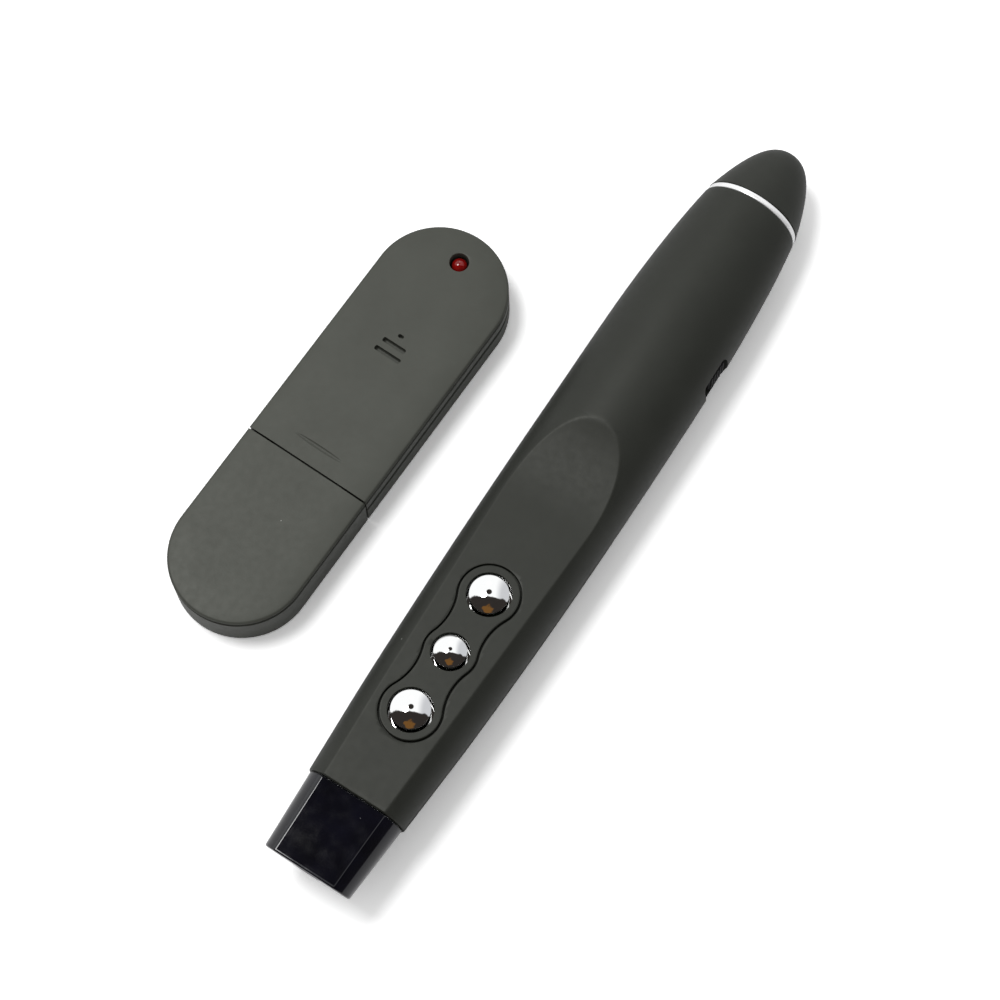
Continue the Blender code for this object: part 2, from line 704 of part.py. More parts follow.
def make_battery_door(pen, plastic, belly_cut):
    hinge = empty("door_hinge", (DOOR_FRONT_X, 0, 0), parent=pen)
    door = add(
        "battery_door",
        body_loft(DOOR_REAR_X - OVERRUN, DOOR_FRONT_X + OVERRUN, 0, CORE_STATIONS, BODY_SIDES),
        hinge,
        plastic,
        Vector((-DOOR_FRONT_X, 0, 0)),
    )
    block = helper("door_block", door_block(0), pen)
    core = helper(
        "door_core",
        body_loft(DOOR_REAR_X - OVERRUN, DOOR_FRONT_X + OVERRUN, SHELL_WALL, CORE_STATIONS, CORE_SIDES),
        pen,
    )
    saddles = bmesh.new()
    for x in rib_places():
        add_box(saddles, around(x, RIB_THICKNESS), (-BODY_WIDTH, BODY_WIDTH), (-BODY_HEIGHT, BODY_HEIGHT))
    cut(core, helper("door_saddles", saddles, pen))
    join(core, cell_bore("door_cell_bore", pen))
    combine(door, block, "INTERSECT")
    cut(door, belly_cut, core)
    tab_bottom = AXIS_HEIGHT - half_height_at(SPLIT_X) + SHELL_WALL + 2 * PART_GAP
    tabs = []
    for side in (-1, 1):
        across = around(side * TAB_SPACING / 2, TAB_WIDTH)
        outline = [
            (DOOR_FRONT_X - TAB_ROOT, SHELL_WALL / 2),
            (DOOR_FRONT_X - PART_GAP, SHELL_WALL / 2),
            (DOOR_FRONT_X - PART_GAP, tab_bottom),
            (DOOR_FRONT_X + TAB_REACH, tab_bottom),
            (DOOR_FRONT_X + TAB_REACH, tab_bottom + TAB_THICKNESS),
            (DOOR_FRONT_X - TAB_ROOT, tab_bottom + TAB_THICKNESS),
        ]
        tabs.append(prism(outline, across, "Y"))
    join(door, helper("door_tabs", gather(tabs), pen))
    notch = rod(DOOR_NAIL_NOTCH_RADIUS, -DOOR_NAIL_NOTCH_DEPTH, DOOR_NAIL_NOTCH_DEPTH, BUTTON_SIDES)
    notch_z = AXIS_HEIGHT - half_height_at(DOOR_REAR_X)
    cut(door, helper("nail_notch", notch, pen, Vector((DOOR_REAR_X, 0, notch_z))))


def hinge_sweep():
    """Radius that the door's tabs sweep about the hinge."""
    tab_top = AXIS_HEIGHT - half_height_at(SPLIT_X) + SHELL_WALL + 2 * PART_GAP + TAB_THICKNESS
    return math.hypot(max(TAB_REACH, TAB_ROOT), tab_top)


def rib_places():
    """The cell's ribs: two that also hold the ends of the switch board, one near the spring, one in front."""
    beside = SWITCH_BAY_LENGTH / 2 + SEAT_GAP + RIB_THICKNESS / 2
    return (
        (CELL_REAR_X + KNOB_X - beside) / 2,
        KNOB_X - beside,
        KNOB_X + beside,
        (CELL_FRONT_X + KNOB_X + beside) / 2,
    )


def bay_walls():
    """The battery bay's end walls and the ribs over the cell, which stay when the core is cut."""
    walls = bmesh.new()
    across = (-BODY_WIDTH, BODY_WIDTH)
    add_box(walls, (BAY_REAR_X - BULKHEAD_THICKNESS, BAY_REAR_X), across, (-BODY_HEIGHT, 2 * BODY_HEIGHT))
    front_low = hinge_sweep() + PART_GAP
    add_box(walls, (BAY_FRONT_X, BAY_FRONT_X + BULKHEAD_THICKNESS), across, (front_low, 2 * BODY_HEIGHT))
    rib_low = max(AXIS_HEIGHT - RIB_DEPTH_BELOW_AXIS, DOOR_HEIGHT + 2 * PART_GAP)
    for x in rib_places():
        add_box(walls, around(x, RIB_THICKNESS), across, (rib_low, 2 * BODY_HEIGHT))
    return walls


def cell_bore(name, pen):
    """The room of the battery cell, open downwards so that the cell can leave through the door."""
    length = (BAY_REAR_X + SEAT_GAP / 2, BAY_FRONT_X - SEAT_GAP / 2)
    outline = arc((-CELL_OFFSET, AXIS_HEIGHT), CELL_CLEAR_RADIUS, 0, HALF_TURN, CELL_SIDES // 2)
    if name.startswith("upper"):
        low = -BODY_HEIGHT
        outline += [(-CELL_OFFSET - CELL_CLEAR_RADIUS, low), (-CELL_OFFSET + CELL_CLEAR_RADIUS, low)]
        length = (CELL_REAR_X, CELL_FRONT_X)
    else:
        outline += arc(
            (-CELL_OFFSET, AXIS_HEIGHT), CELL_CLEAR_RADIUS, HALF_TURN, FULL_TURN, CELL_SIDES // 2
        )[1:-1]
    return helper(name, prism(outline, length, "X"), pen)


def slot_block():
    length = KNOB_LENGTH + KNOB_TRAVEL + 2 * PART_GAP
    wall_y = half_width_at(KNOB_X) - SHELL_WALL
    return rounded_box(
        around(KNOB_X, length),
        (wall_y - OVERRUN, wall_y + SHELL_WALL + OVERRUN),
        around(axis_z(KNOB_X), KNOB_HEIGHT + 2 * PART_GAP),
        SLOT_CORNER_RADIUS,
        "Y",
    )


def buttons():
    """Label, place along the deck and dome diameter of each button."""
    return (
        ("page_up_button", -BUTTON_SPACING, END_BUTTON_DIAMETER),
        ("laser_button", 0, LASER_BUTTON_DIAMETER),
        ("page_down_button", BUTTON_SPACING, END_BUTTON_DIAMETER),
    )


def board_screws():
    """Label and place on the deck of each board screw."""
    reach = BOARD_LENGTH / 2 - BOARD_POST_INSET
    aside = BOARD_WIDTH / 2 - BOARD_POST_INSET
    return (("rear_board_screw", -reach, aside), ("front_board_screw", reach, -aside))


def case_screws():
    return (("rear_case_screw", REAR_SCREW_X), ("front_case_screw", FRONT_SCREW_X))


def shell_floor(x):
    """Outer height of the shell's underside on its centre line."""
    return max(axis_z(x) - half_height_at(x), 0)


def head_seat(x):
    return shell_floor(x) + CASE_SCREW_HEAD_HEIGHT + PART_GAP


def boss_top(x):
    return head_seat(x) + CASE_BOSS_FLOOR


def hollow_post(radius, low, high, pilot_radius, pilot_top):
    """A post with a blind hole from below."""
    profile = [
        (0, high),
        (radius, high),
        (radius, low),
        (pilot_radius, low),
        (pilot_radius, pilot_top),
        (0, pilot_top),
    ]
    return lathe(profile, SCREW_SIDES)


def posts():
    """Posts that hang from the deck: two take the case screws and two take the board screws."""
    made = []
    for _, x in case_screws():
        post = hollow_post(
            CASE_POST_DIAMETER / 2,
            boss_top(x) + PART_GAP,
            2 * BODY_HEIGHT,
            CASE_SCREW_SHANK_DIAMETER / 2 + SEAT_GAP,
            head_seat(x) + CASE_SCREW_SHANK_LENGTH + PART_GAP,
        )
        made.append(placed(post, Matrix.Translation((x, 0, 0))))
    for _, x, y in board_screws():
        post = hollow_post(
            BOARD_POST_DIAMETER / 2,
            BOARD_TOP + SEAT_GAP,
            BODY_HEIGHT,
            BOARD_SCREW_SHANK_DIAMETER / 2 + SEAT_GAP,
            BOARD_BOTTOM + BOARD_SCREW_LENGTH + PART_GAP,
        )
        made.append(placed(post, on_deck(x, y)))
    return made


def make_nose(pen, gloss):
    """The smoked nose window: a hollow cap with a spigot that the shells close round."""
    flat_z = face_z(SHELL_FRONT_X) - NOSE_FACE_DROP

    def nose_rings(start, end, inset, spigot):
        rings = []
        for k in range(NOSE_STATIONS + 1):
            x = start + (end - start) * k / NOSE_STATIONS
            if spigot:
                wide = half_width_at(SHELL_FRONT_X) - SHELL_WALL - PART_GAP - inset
                high = half_height_at(SHELL_FRONT_X) - SHELL_WALL - PART_GAP - inset
            else:
                inside = min(max(x, SHELL_FRONT_X + NOSE_INSET), NOSE_X)
                wide = half_width_at(inside) - inset
                high = half_nose_height_at(inside) - inset
            rings.append(ellipse(x, wide, high, axis_z(x), BODY_SIDES))
        return rings

    back = SHELL_FRONT_X + SEAT_GAP
    nose = add("nose_window", skin(nose_rings(back, NOSE_X, 0, False)), pen, gloss)
    spigot_back = SHELL_FRONT_X - NOSE_SPIGOT_LENGTH
    spigot = helper(
        "nose_spigot", skin(nose_rings(spigot_back, back + NOSE_WALL, 0, True)), pen
    )
    slope = FACE_SLOPE * (NOSE_X - back + 2 * OVERRUN)
    top = 2 * BODY_HEIGHT
    face = [
        (back - OVERRUN, flat_z),
        (NOSE_X + OVERRUN, flat_z + slope),
        (NOSE_X + OVERRUN, top),
        (back - OVERRUN, top),
    ]
    face_cut = helper("nose_face_cut", prism(face, (-BODY_WIDTH, BODY_WIDTH), "Y"), pen)
    spigot_top = face_z(spigot_back) - DECK_THICKNESS - PART_GAP
    spigot_cut = helper(
        "spigot_top_cut",
        box((spigot_back - OVERRUN, NOSE_X), (-BODY_WIDTH, BODY_WIDTH), (spigot_top, top)),
        pen,
    )
    cut(spigot, spigot_cut)
    core = helper(
        "nose_core", skin(nose_rings(back - OVERRUN / 10, NOSE_X - NOSE_WALL, NOSE_WALL, False)), pen
    )
    inner_face = [(x, z - NOSE_WALL) for x, z in face]
    cut(core, helper("nose_inner_face", prism(inner_face, (-BODY_WIDTH, BODY_WIDTH), "Y"), pen))
    spigot_core = helper(
        "spigot_core",
        skin(nose_rings(spigot_back - OVERRUN, back + 2 * NOSE_WALL, NOSE_WALL, True)),
        pen,
    )
    inner_top = helper(
        "spigot_inner_top",
        box(
            (spigot_back - 2 * OVERRUN, NOSE_X), (-BODY_WIDTH, BODY_WIDTH), (spigot_top - NOSE_WALL, top)
        ),
        pen,
    )
    cut(spigot_core, inner_top)
    axis = Vector((0, 0, LASER_AXIS_HEIGHT))
    barrel_front = laser_front()
    collar_radius = BARREL_DIAMETER / 2 + SEAT_GAP + BARREL_COLLAR_WALL
    collar = helper(
        "barrel_collar",
        rod(collar_radius, barrel_front - BARREL_COLLAR_DEPTH, NOSE_X, BUTTON_SIDES, "X"),
        pen,
        axis,
    )
    cut(core, collar)
    bore_profile = [
        (0, NOSE_X + OVERRUN),
        (LASER_APERTURE_DIAMETER / 2, NOSE_X + OVERRUN),
        (LASER_APERTURE_DIAMETER / 2, barrel_front + PART_GAP),
        (BARREL_DIAMETER / 2 + SEAT_GAP, barrel_front + PART_GAP),
        (BARREL_DIAMETER / 2 + SEAT_GAP, SHELL_FRONT_X - NOSE_SPIGOT_LENGTH - OVERRUN),
        (0, SHELL_FRONT_X - NOSE_SPIGOT_LENGTH - OVERRUN),
    ]
    bore = helper("barrel_bore", lathe(bore_profile, BUTTON_SIDES, "X"), pen, axis)
    cut(nose, face_cut)
    join(nose, spigot)
    cut(nose, core, spigot_core, bore)


def laser_front():
    """Front end of the laser barrel, behind the front wall of the nose."""
    return NOSE_X - NOSE_WALL - BARREL_SETBACK


def make_laser(pen, brass, steel, glass, board):
    axis = Vector((0, 0, LASER_AXIS_HEIGHT))
    front = laser_front()
    rear = front - BARREL_LENGTH
    bore = BARREL_BORE_DIAMETER / 2
    barrel = add("laser_barrel", rod(BARREL_DIAMETER / 2, rear, front, BUTTON_SIDES, "X"), pen, brass, axis)
    room = rod(bore, rear - OVERRUN, front + OVERRUN, BUTTON_SIDES, "X")
    cut(barrel, helper("barrel_room_bore", room, pen, axis))
    fit = bore - SEAT_GAP
    cap = DIODE_LENGTH / 3
    diode = [
        (0, rear + DIODE_LENGTH),
        (fit / 2, rear + DIODE_LENGTH),
        (fit / 2, rear + cap),
        (fit, rear + cap),
        (fit, rear + SEAT_GAP),
        (0, rear + SEAT_GAP),
    ]
    add("laser_diode", lathe(diode, BUTTON_SIDES, "X"), pen, steel, axis)
    lens_x = front - LENS_RECESS - LENS_THICKNESS / 2
    bulge = (LENS_THICKNESS - LENS_EDGE) / 2
    outer = [(fit * k / 4, lens_x + LENS_EDGE / 2 + bulge * (1 - (k / 4) ** 2)) for k in range(5)]
    inner = [(r, 2 * lens_x - x) for r, x in reversed(outer)]
    add("laser_lens", lathe(outer + inner, BUTTON_SIDES, "X"), pen, glass, axis)
    disc = rod(
        DRIVER_BOARD_DIAMETER / 2,
        rear - SEAT_GAP - DRIVER_BOARD_THICKNESS,
        rear - SEAT_GAP,
        BUTTON_SIDES,
        "X",
    )
    add("laser_driver_board", disc, pen, board, axis)


def make_tail(pen, plastic, silver):
    """The ring is a band round the tail cap's spigot, which plugs into the body."""
    wide = half_width_at(RING_X)
    high = half_height_at(RING_X)
    spigot_wide = half_width_at(BODY_X) - SHELL_WALL - PART_GAP
    spigot_high = half_height_at(BODY_X) - SHELL_WALL - PART_GAP
    rings = []
    for k in range(1, CAP_STATIONS + 1):
        out = k / CAP_STATIONS
        x = TAIL_X + (RING_X - SEAT_GAP - TAIL_X) * out**CAP_POINTEDNESS
        rings.append(ellipse(x, wide * out, high * out, AXIS_HEIGHT, BODY_SIDES, RING_LEAN))
    tip = ellipse(TAIL_X, wide / CAP_STATIONS / 3, high / CAP_STATIONS / 3, AXIS_HEIGHT, BODY_SIDES)
    cap = add("tail_cap", skin([tip, *rings]), pen, plastic)
    spigot_end = BODY_X + SPIGOT_LENGTH
    spigot = skin(
        [
            ellipse(x, spigot_wide, spigot_high, AXIS_HEIGHT, BODY_SIDES)
            for x in (RING_X - TAIL_CAP_LENGTH / 3, spigot_end)
        ]
    )
    join(cap, helper("cap_spigot", spigot, pen))
    hollow = []
    for k in range(CAP_STATIONS // 2, CAP_STATIONS + 1):
        out = k / CAP_STATIONS
        x = TAIL_X + (RING_X - TAIL_X) * out**CAP_POINTEDNESS
        grown = out * (spigot_wide - SPIGOT_WALL)
        hollow.append(
            ellipse(x, grown, out * (spigot_high - SPIGOT_WALL), AXIS_HEIGHT, CORE_SIDES)
        )
    hollow.append(
        ellipse(
            spigot_end + OVERRUN, spigot_wide - SPIGOT_WALL, spigot_high - SPIGOT_WALL, AXIS_HEIGHT, CORE_SIDES
        )
    )
    cut(cap, helper("cap_hollow", skin(hollow), pen))

    ring = add(
        "silver_ring",
        skin(
            [
                ellipse(x, wide, high, AXIS_HEIGHT, BODY_SIDES, RING_LEAN)
                for x in (RING_X, BODY_X - SEAT_GAP)
            ]
        ),
        pen,
        silver,
    )
    hole = [
        ellipse(x, spigot_wide + SEAT_GAP, spigot_high + SEAT_GAP, AXIS_HEIGHT, BODY_SIDES)
        for x in (RING_X - OVERRUN, BODY_X + OVERRUN)
    ]
    cut(ring, helper("ring_hole", skin(hole), pen))


def make_keypad(deck, plastic, chrome, black, board, steel):
    """Everything that stacks under the thumb face, in the tilted frame of the deck."""
    plate = add(
        "keypad_plate",
        prism(keypad_outline(0), (KEYPAD_PROUD - KEYPAD_THICKNESS, KEYPAD_PROUD)),
        deck,
        plastic,
    )
    main_board = add(
        "main_board",
        box(around(0, BOARD_LENGTH), around(0, BOARD_WIDTH), (BOARD_BOTTOM, BOARD_TOP)),
        deck,
        board,
    )
    plate_holes = []
    for label, place, diameter in buttons():
        radius = diameter / 2
        at = Vector((place, 0, 0))
        hole = rod(radius + PART_GAP, -DECK_THICKNESS, DECK_THICKNESS, BUTTON_SIDES)
        plate_holes.append(placed(hole, Matrix.Translation(at)))
        crown = BUTTON_PROUD - BUTTON_SKIRT_PROUD
        profile = [
            (radius * math.sin(k * HALF_TURN / 12), BUTTON_SKIRT_PROUD + crown * math.cos(k * HALF_TURN / 12))
            for k in range(7)
        ]
        flange_bottom = FLANGE_TOP - BUTTON_FLANGE_THICKNESS
        profile += [
            (radius, FLANGE_TOP),
            (radius + BUTTON_FLANGE, FLANGE_TOP),
            (radius + BUTTON_FLANGE, flange_bottom),
            (BUTTON_STEM_DIAMETER / 2, flange_bottom),
            (BUTTON_STEM_DIAMETER / 2, STEM_BOTTOM),
            (0, STEM_BOTTOM),
        ]
        add(label, lathe(profile, BUTTON_SIDES), deck, chrome, at)
        add(label.replace("button", "switch"), tact_switch(), deck, black, at)
    cut(plate, helper("plate_holes", gather(plate_holes), deck))
    board_holes = []
    for label, x, y in board_screws():
        shank = BOARD_SCREW_SHANK_DIAMETER / 2
        head = BOARD_SCREW_HEAD_DIAMETER / 2
        under = BOARD_BOTTOM - SEAT_GAP
        profile = [
            (0, BOARD_BOTTOM + BOARD_SCREW_LENGTH),
            (shank, BOARD_BOTTOM + BOARD_SCREW_LENGTH),
            (shank, under),
            (head, under),
            (head, under - BOARD_SCREW_HEAD_HEIGHT),
            (0, under - BOARD_SCREW_HEAD_HEIGHT),
        ]
        add(label, lathe(profile, SCREW_SIDES), deck, steel, Vector((x, y, 0)))
        hole = rod(shank + SEAT_GAP, BOARD_BOTTOM - OVERRUN, BOARD_TOP + OVERRUN, SCREW_SIDES)
        board_holes.append(placed(hole, Matrix.Translation((x, y, 0))))
    cut(main_board, helper("board_holes", gather(board_holes), deck))
    low = BOARD_BOTTOM - SEAT_GAP
    chip = box(around(0, CHIP_SIDE), around(0, CHIP_SIDE), (low - CHIP_HEIGHT, low))
    add("radio_chip", chip, deck, black)
    crystal = rounded_box(
        around(CHIP_SIDE + CRYSTAL_LENGTH / 2, CRYSTAL_LENGTH),
        around(0, CRYSTAL_WIDTH),
        (low - CRYSTAL_HEIGHT, low),
        CRYSTAL_WIDTH / 5,
    )
    add("crystal", crystal, deck, steel)


def tact_switch():
    """A square tact switch: the actuator is inset and pulled up from the top of its body."""
    bottom = BOARD_TOP + SEAT_GAP
    bm = box(around(0, TACT_SIDE), around(0, TACT_SIDE), (bottom, bottom + TACT_BODY_HEIGHT))
    top = max(bm.faces, key=lambda face: face.calc_center_median().z)
    bmesh.ops.inset_region(bm, faces=[top], thickness=(TACT_SIDE - TACT_ACTUATOR_SIDE) / 2)
    pulled = bmesh.ops.extrude_face_region(bm, geom=[top])
    verts = [item for item in pulled["geom"] if isinstance(item, bmesh.types.BMVert)]
    bmesh.ops.translate(bm, verts=verts, vec=Vector((0, 0, TACT_ACTUATOR_HEIGHT)))
    bmesh.ops.delete(bm, geom=[top], context="FACES")
    return bm


def make_power(pen, steel, wrap, black, board):
    """The cell with its contacts and spring, and the side switch."""
    axis = Vector((0, -CELL_OFFSET, AXIS_HEIGHT))
    nub_x = CELL_FRONT_X - CELL_NUB_LENGTH
    profile = [
        (0, CELL_FRONT_X),
        (CELL_NUB_DIAMETER / 2, CELL_FRONT_X),
        (CELL_NUB_DIAMETER / 2, nub_x),
        (CELL_DIAMETER / 2, nub_x),
        (CELL_DIAMETER / 2, CELL_REAR_X),
        (0, CELL_REAR_X),
    ]
    add("battery_cell", lathe(profile, CELL_SIDES, "X"), pen, wrap, axis)
    for label, front in (("positive_contact", POSITIVE_X), ("negative_contact", NEGATIVE_X)):
        plate = rounded_box(
            (front - CONTACT_THICKNESS, front),
            around(0, CONTACT_WIDTH),
            around(0, CONTACT_HEIGHT),
            CONTACT_HEIGHT / 6,
            "X",
        )
        add(label, plate, pen, steel, axis)
    make_spring(pen, steel, axis)

    middle_z = axis_z(KNOB_X)
    knob_face = half_width_at(KNOB_X) - KNOB_RECESS
    switch_front = half_width_at(KNOB_X) - SHELL_WALL - SLOT_CORNER_RADIUS
    switch_rear = switch_front - SWITCH_BODY_DEPTH
    body = box(
        around(KNOB_X, SWITCH_BODY_LENGTH),
        (switch_rear, switch_front),
        around(middle_z, SWITCH_BODY_HEIGHT),
    )
    add("power_switch_body", body, pen, black)
    carrier = box(
        around(KNOB_X, SWITCH_BAY_LENGTH),
        (switch_rear - SEAT_GAP - SWITCH_BOARD_THICKNESS, switch_rear - SEAT_GAP),
        around(middle_z, SWITCH_BOARD_HEIGHT),
    )
    add("switch_board", carrier, pen, board)
    rest_x = KNOB_X - KNOB_TRAVEL / 2
    knob_depth = knob_face - KNOB_RIB_HEIGHT - switch_front - SEAT_GAP
    knob = box(
        around(0, KNOB_LENGTH),
        (-knob_depth, 0),
        around(0, KNOB_HEIGHT),
    )
    power_knob = add("power_knob", knob, pen, black, Vector((rest_x, knob_face - KNOB_RIB_HEIGHT, middle_z)))
    pitch = KNOB_LENGTH / KNOB_RIBS
    ribs = bmesh.new()
    for k in range(KNOB_RIBS):
        middle = (k + KNOB_RIB_SHARE) * pitch - KNOB_LENGTH / 2
        add_box(
            ribs,
            around(middle, pitch * KNOB_RIB_SHARE),
            (-KNOB_RIB_HEIGHT, KNOB_RIB_HEIGHT),
            around(0, KNOB_HEIGHT - 2 * KNOB_RIB_HEIGHT),
        )
    join(power_knob, helper("knob_ribs", ribs, power_knob))


def make_spring(pen, steel, axis):
    """A cone of spring wire from the negative contact to the cell's flat end."""
    curve = bpy.data.curves.new("battery_spring", "CURVE")
    curve.dimensions = "3D"
    curve.bevel_depth = SPRING_WIRE / 2
    curve.bevel_resolution = 1
    curve.use_fill_caps = True
    spline = curve.splines.new("POLY")
    count = SPRING_TURNS * SPRING_STEPS
    spline.points.add(count)
    start = NEGATIVE_X + SEAT_GAP + SPRING_WIRE / 2
    end = SPRING_X - SPRING_WIRE / 2
    for k in range(count + 1):
        t = k / count
        angle = FULL_TURN * SPRING_TURNS * t
        wide = SPRING_WIDE_DIAMETER + (SPRING_NARROW_DIAMETER - SPRING_WIDE_DIAMETER) * t
        radius = (wide - SPRING_WIRE) / 2
        climb = start + (end - start) * t
        spline.points[k].co = (climb, radius * math.cos(angle), radius * math.sin(angle), 1)
    spring = bpy.data.objects.new("battery_spring", curve)
    bpy.context.scene.collection.objects.link(spring)
    spring.parent = pen
    spring.location = axis
    curve.materials.append(steel)


def make_case_screws(pen, steel):
    for label, x in case_screws():
        top = head_seat(x) - SEAT_GAP
        shank = CASE_SCREW_SHANK_DIAMETER / 2
        head = CASE_SCREW_HEAD_DIAMETER / 2
        profile = [
            (0, top + CASE_SCREW_SHANK_LENGTH),
            (shank, top + CASE_SCREW_SHANK_LENGTH),
            (shank, top),
            (head, top),
            (head, top - CASE_SCREW_HEAD_HEIGHT),
            (0, top - CASE_SCREW_HEAD_HEIGHT),
        ]
        add(label, lathe(profile, SCREW_SIDES), pen, steel, Vector((x, 0, 0)))


def stick_outline(start, end, inset):
    """Plan of the receiver between two places: straight sides, with a round end where it reaches one."""
    radius = RECEIVER_RADIUS - inset
    reach = RECEIVER_LENGTH / 2 - RECEIVER_RADIUS
    outline = []
    if end > reach:
        outline += arc((reach, 0), radius, -HALF_TURN / 2, HALF_TURN / 2, RECEIVER_END_STEPS)
    else:
        outline += [(end, -radius), (end, radius)]
    if start < -reach:
        outline += arc((-reach, 0), radius, HALF_TURN / 2, 3 * HALF_TURN / 2, RECEIVER_END_STEPS)
    else:
        outline += [(start, radius), (start, -radius)]
    return outline


def stick(start, end, low, high, edges=()):
    """A slice of the receiver's stick with the named rims, high or low, rounded."""
    bm = prism(stick_outline(start, end, 0), (low, high))
    for level in edges:
        rim = [
            edge
            for edge in bm.edges
            if all(abs(vert.co.z - level) < SEAT_GAP for vert in edge.verts)
        ]
        bmesh.ops.bevel(
            bm, geom=rim, offset=RECEIVER_EDGE_RADIUS, segments=2, profile=0.5, affect="EDGES"
        )
    return bm


def make_receiver(receiver, plastic, steel, black, gold, red, board):
    far = RECEIVER_LENGTH
    seam = RECEIVER_SEAM_HEIGHT
    top_shell = add(
        "receiver_top_shell",
        stick(RECEIVER_BODY_X, far, seam, RECEIVER_HEIGHT, (RECEIVER_HEIGHT,)),
        receiver,
        plastic,
    )
    base_shell = add(
        "receiver_base_shell", stick(RECEIVER_BODY_X, far, 0, seam - PART_GAP, (0,)), receiver, plastic
    )
    cap = add(
        "receiver_cap",
        stick(-far, CAP_JOINT_X, 0, RECEIVER_HEIGHT, (0, RECEIVER_HEIGHT)),
        receiver,
        plastic,
    )
    inner_start = RECEIVER_BODY_X + RECEIVER_WALL
    hollow = stick_outline(inner_start, far, RECEIVER_WALL)
    room_height = (RECEIVER_WALL, RECEIVER_HEIGHT - RECEIVER_WALL)
    top_room = helper("receiver_top_room", prism(hollow, room_height), receiver)
    base_room = helper("receiver_base_room", prism(hollow, room_height), receiver)
    rails = bmesh.new()
    rail_y = RECEIVER_BOARD_WIDTH / 2 - RECEIVER_RAIL_WIDTH / 2
    for side in (-1, 1):
        add_box(
            rails,
            (inner_start - OVERRUN, STATUS_X - RECEIVER_RADIUS / 2),
            around(side * rail_y, RECEIVER_RAIL_WIDTH),
            (-OVERRUN, RECEIVER_BOARD_BOTTOM - SEAT_GAP),
        )
    cut(base_room, helper("receiver_rails", rails, receiver))
    plug_slot = helper(
        "plug_slot",
        box(
            (RECEIVER_BODY_X - OVERRUN, PLUG_REAR_X + SEAT_GAP),
            around(0, PLUG_WIDTH + 2 * SEAT_GAP),
            around(PLUG_MIDDLE_Z, PLUG_HEIGHT + 2 * SEAT_GAP),
        ),
        receiver,
    )
    cut(top_shell, top_room, plug_slot)
    cut(base_shell, base_room, plug_slot)
    status_hole = rod(STATUS_HOLE_DIAMETER / 2, seam, RECEIVER_HEIGHT + OVERRUN, BUTTON_SIDES)
    top_cuts = [placed(status_hole, Matrix.Translation((STATUS_X, 0, 0)))]
    for k, length in enumerate(GROOVE_LENGTHS):
        groove = rounded_box(
            around(GROOVES_FROM_MIDDLE + k * GROOVE_SPACING, GROOVE_WIDTH),
            around(0, length),
            (RECEIVER_HEIGHT - GROOVE_DEPTH, RECEIVER_HEIGHT + OVERRUN),
            GROOVE_WIDTH / 3,
        )
        top_cuts.append(groove)
    cut(top_shell, helper("top_cuts", gather(top_cuts), receiver))
    pocket = helper(
        "cap_pocket",
        box(
            (CAP_JOINT_X - CAP_POCKET_DEPTH, CAP_JOINT_X + OVERRUN),
            around(0, PLUG_WIDTH + 2 * PART_GAP),
            around(PLUG_MIDDLE_Z, PLUG_HEIGHT + 2 * PART_GAP),
        ),
        receiver,
    )
    cut(cap, pocket)

    shell = add(
        "plug_shell",
        box(
            (PLUG_MOUTH_X, PLUG_REAR_X),
            around(0, PLUG_WIDTH),
            around(PLUG_MIDDLE_Z, PLUG_HEIGHT),
        ),
        receiver,
        steel,
    )
    throat = helper(
        "plug_throat",
        box(
            (PLUG_MOUTH_X - OVERRUN, PLUG_REAR_X + OVERRUN),
            around(0, PLUG_WIDTH - 2 * PLUG_SHEET),
            around(PLUG_MIDDLE_Z, PLUG_HEIGHT - 2 * PLUG_SHEET),
        ),
        receiver,
    )
    windows = bmesh.new()
    window_x = PLUG_MOUTH_X + PLUG_WINDOW_FROM_MOUTH
    for side in (-1, 1):
        add_box(
            windows,
            around(window_x, PLUG_WINDOW_SIDE),
            around(side * PLUG_WINDOW_SPACING / 2, PLUG_WINDOW_SIDE),
            (PLUG_MIDDLE_Z, PLUG_MIDDLE_Z + PLUG_HEIGHT),
        )
    cut(shell, throat, helper("plug_windows", windows, receiver))
    tongue_low = PLUG_MIDDLE_Z - PLUG_HEIGHT / 2 + PLUG_SHEET + SEAT_GAP
    tongue_top = tongue_low + TONGUE_THICKNESS
    tongue = box(
        (PLUG_MOUTH_X + TONGUE_SETBACK, PLUG_REAR_X - SEAT_GAP),
        around(0, PLUG_WIDTH - 2 * PLUG_SHEET - 2 * SEAT_GAP),
        (tongue_low, tongue_top),
    )
    add("plug_tongue", tongue, receiver, black)
    for k in range(PLUG_CONTACTS):
        y = (k - (PLUG_CONTACTS - 1) / 2) * PLUG_CONTACT_SPACING
        start = PLUG_MOUTH_X + 2 * TONGUE_SETBACK
        strip = box(
            (start, start + PLUG_CONTACT_LENGTH),
            around(y, PLUG_CONTACT_WIDTH),
            (tongue_top + SEAT_GAP, tongue_top + SEAT_GAP + PLUG_CONTACT_THICKNESS),
        )
        add(f"plug_contact_{k + 1}", strip, receiver, gold)

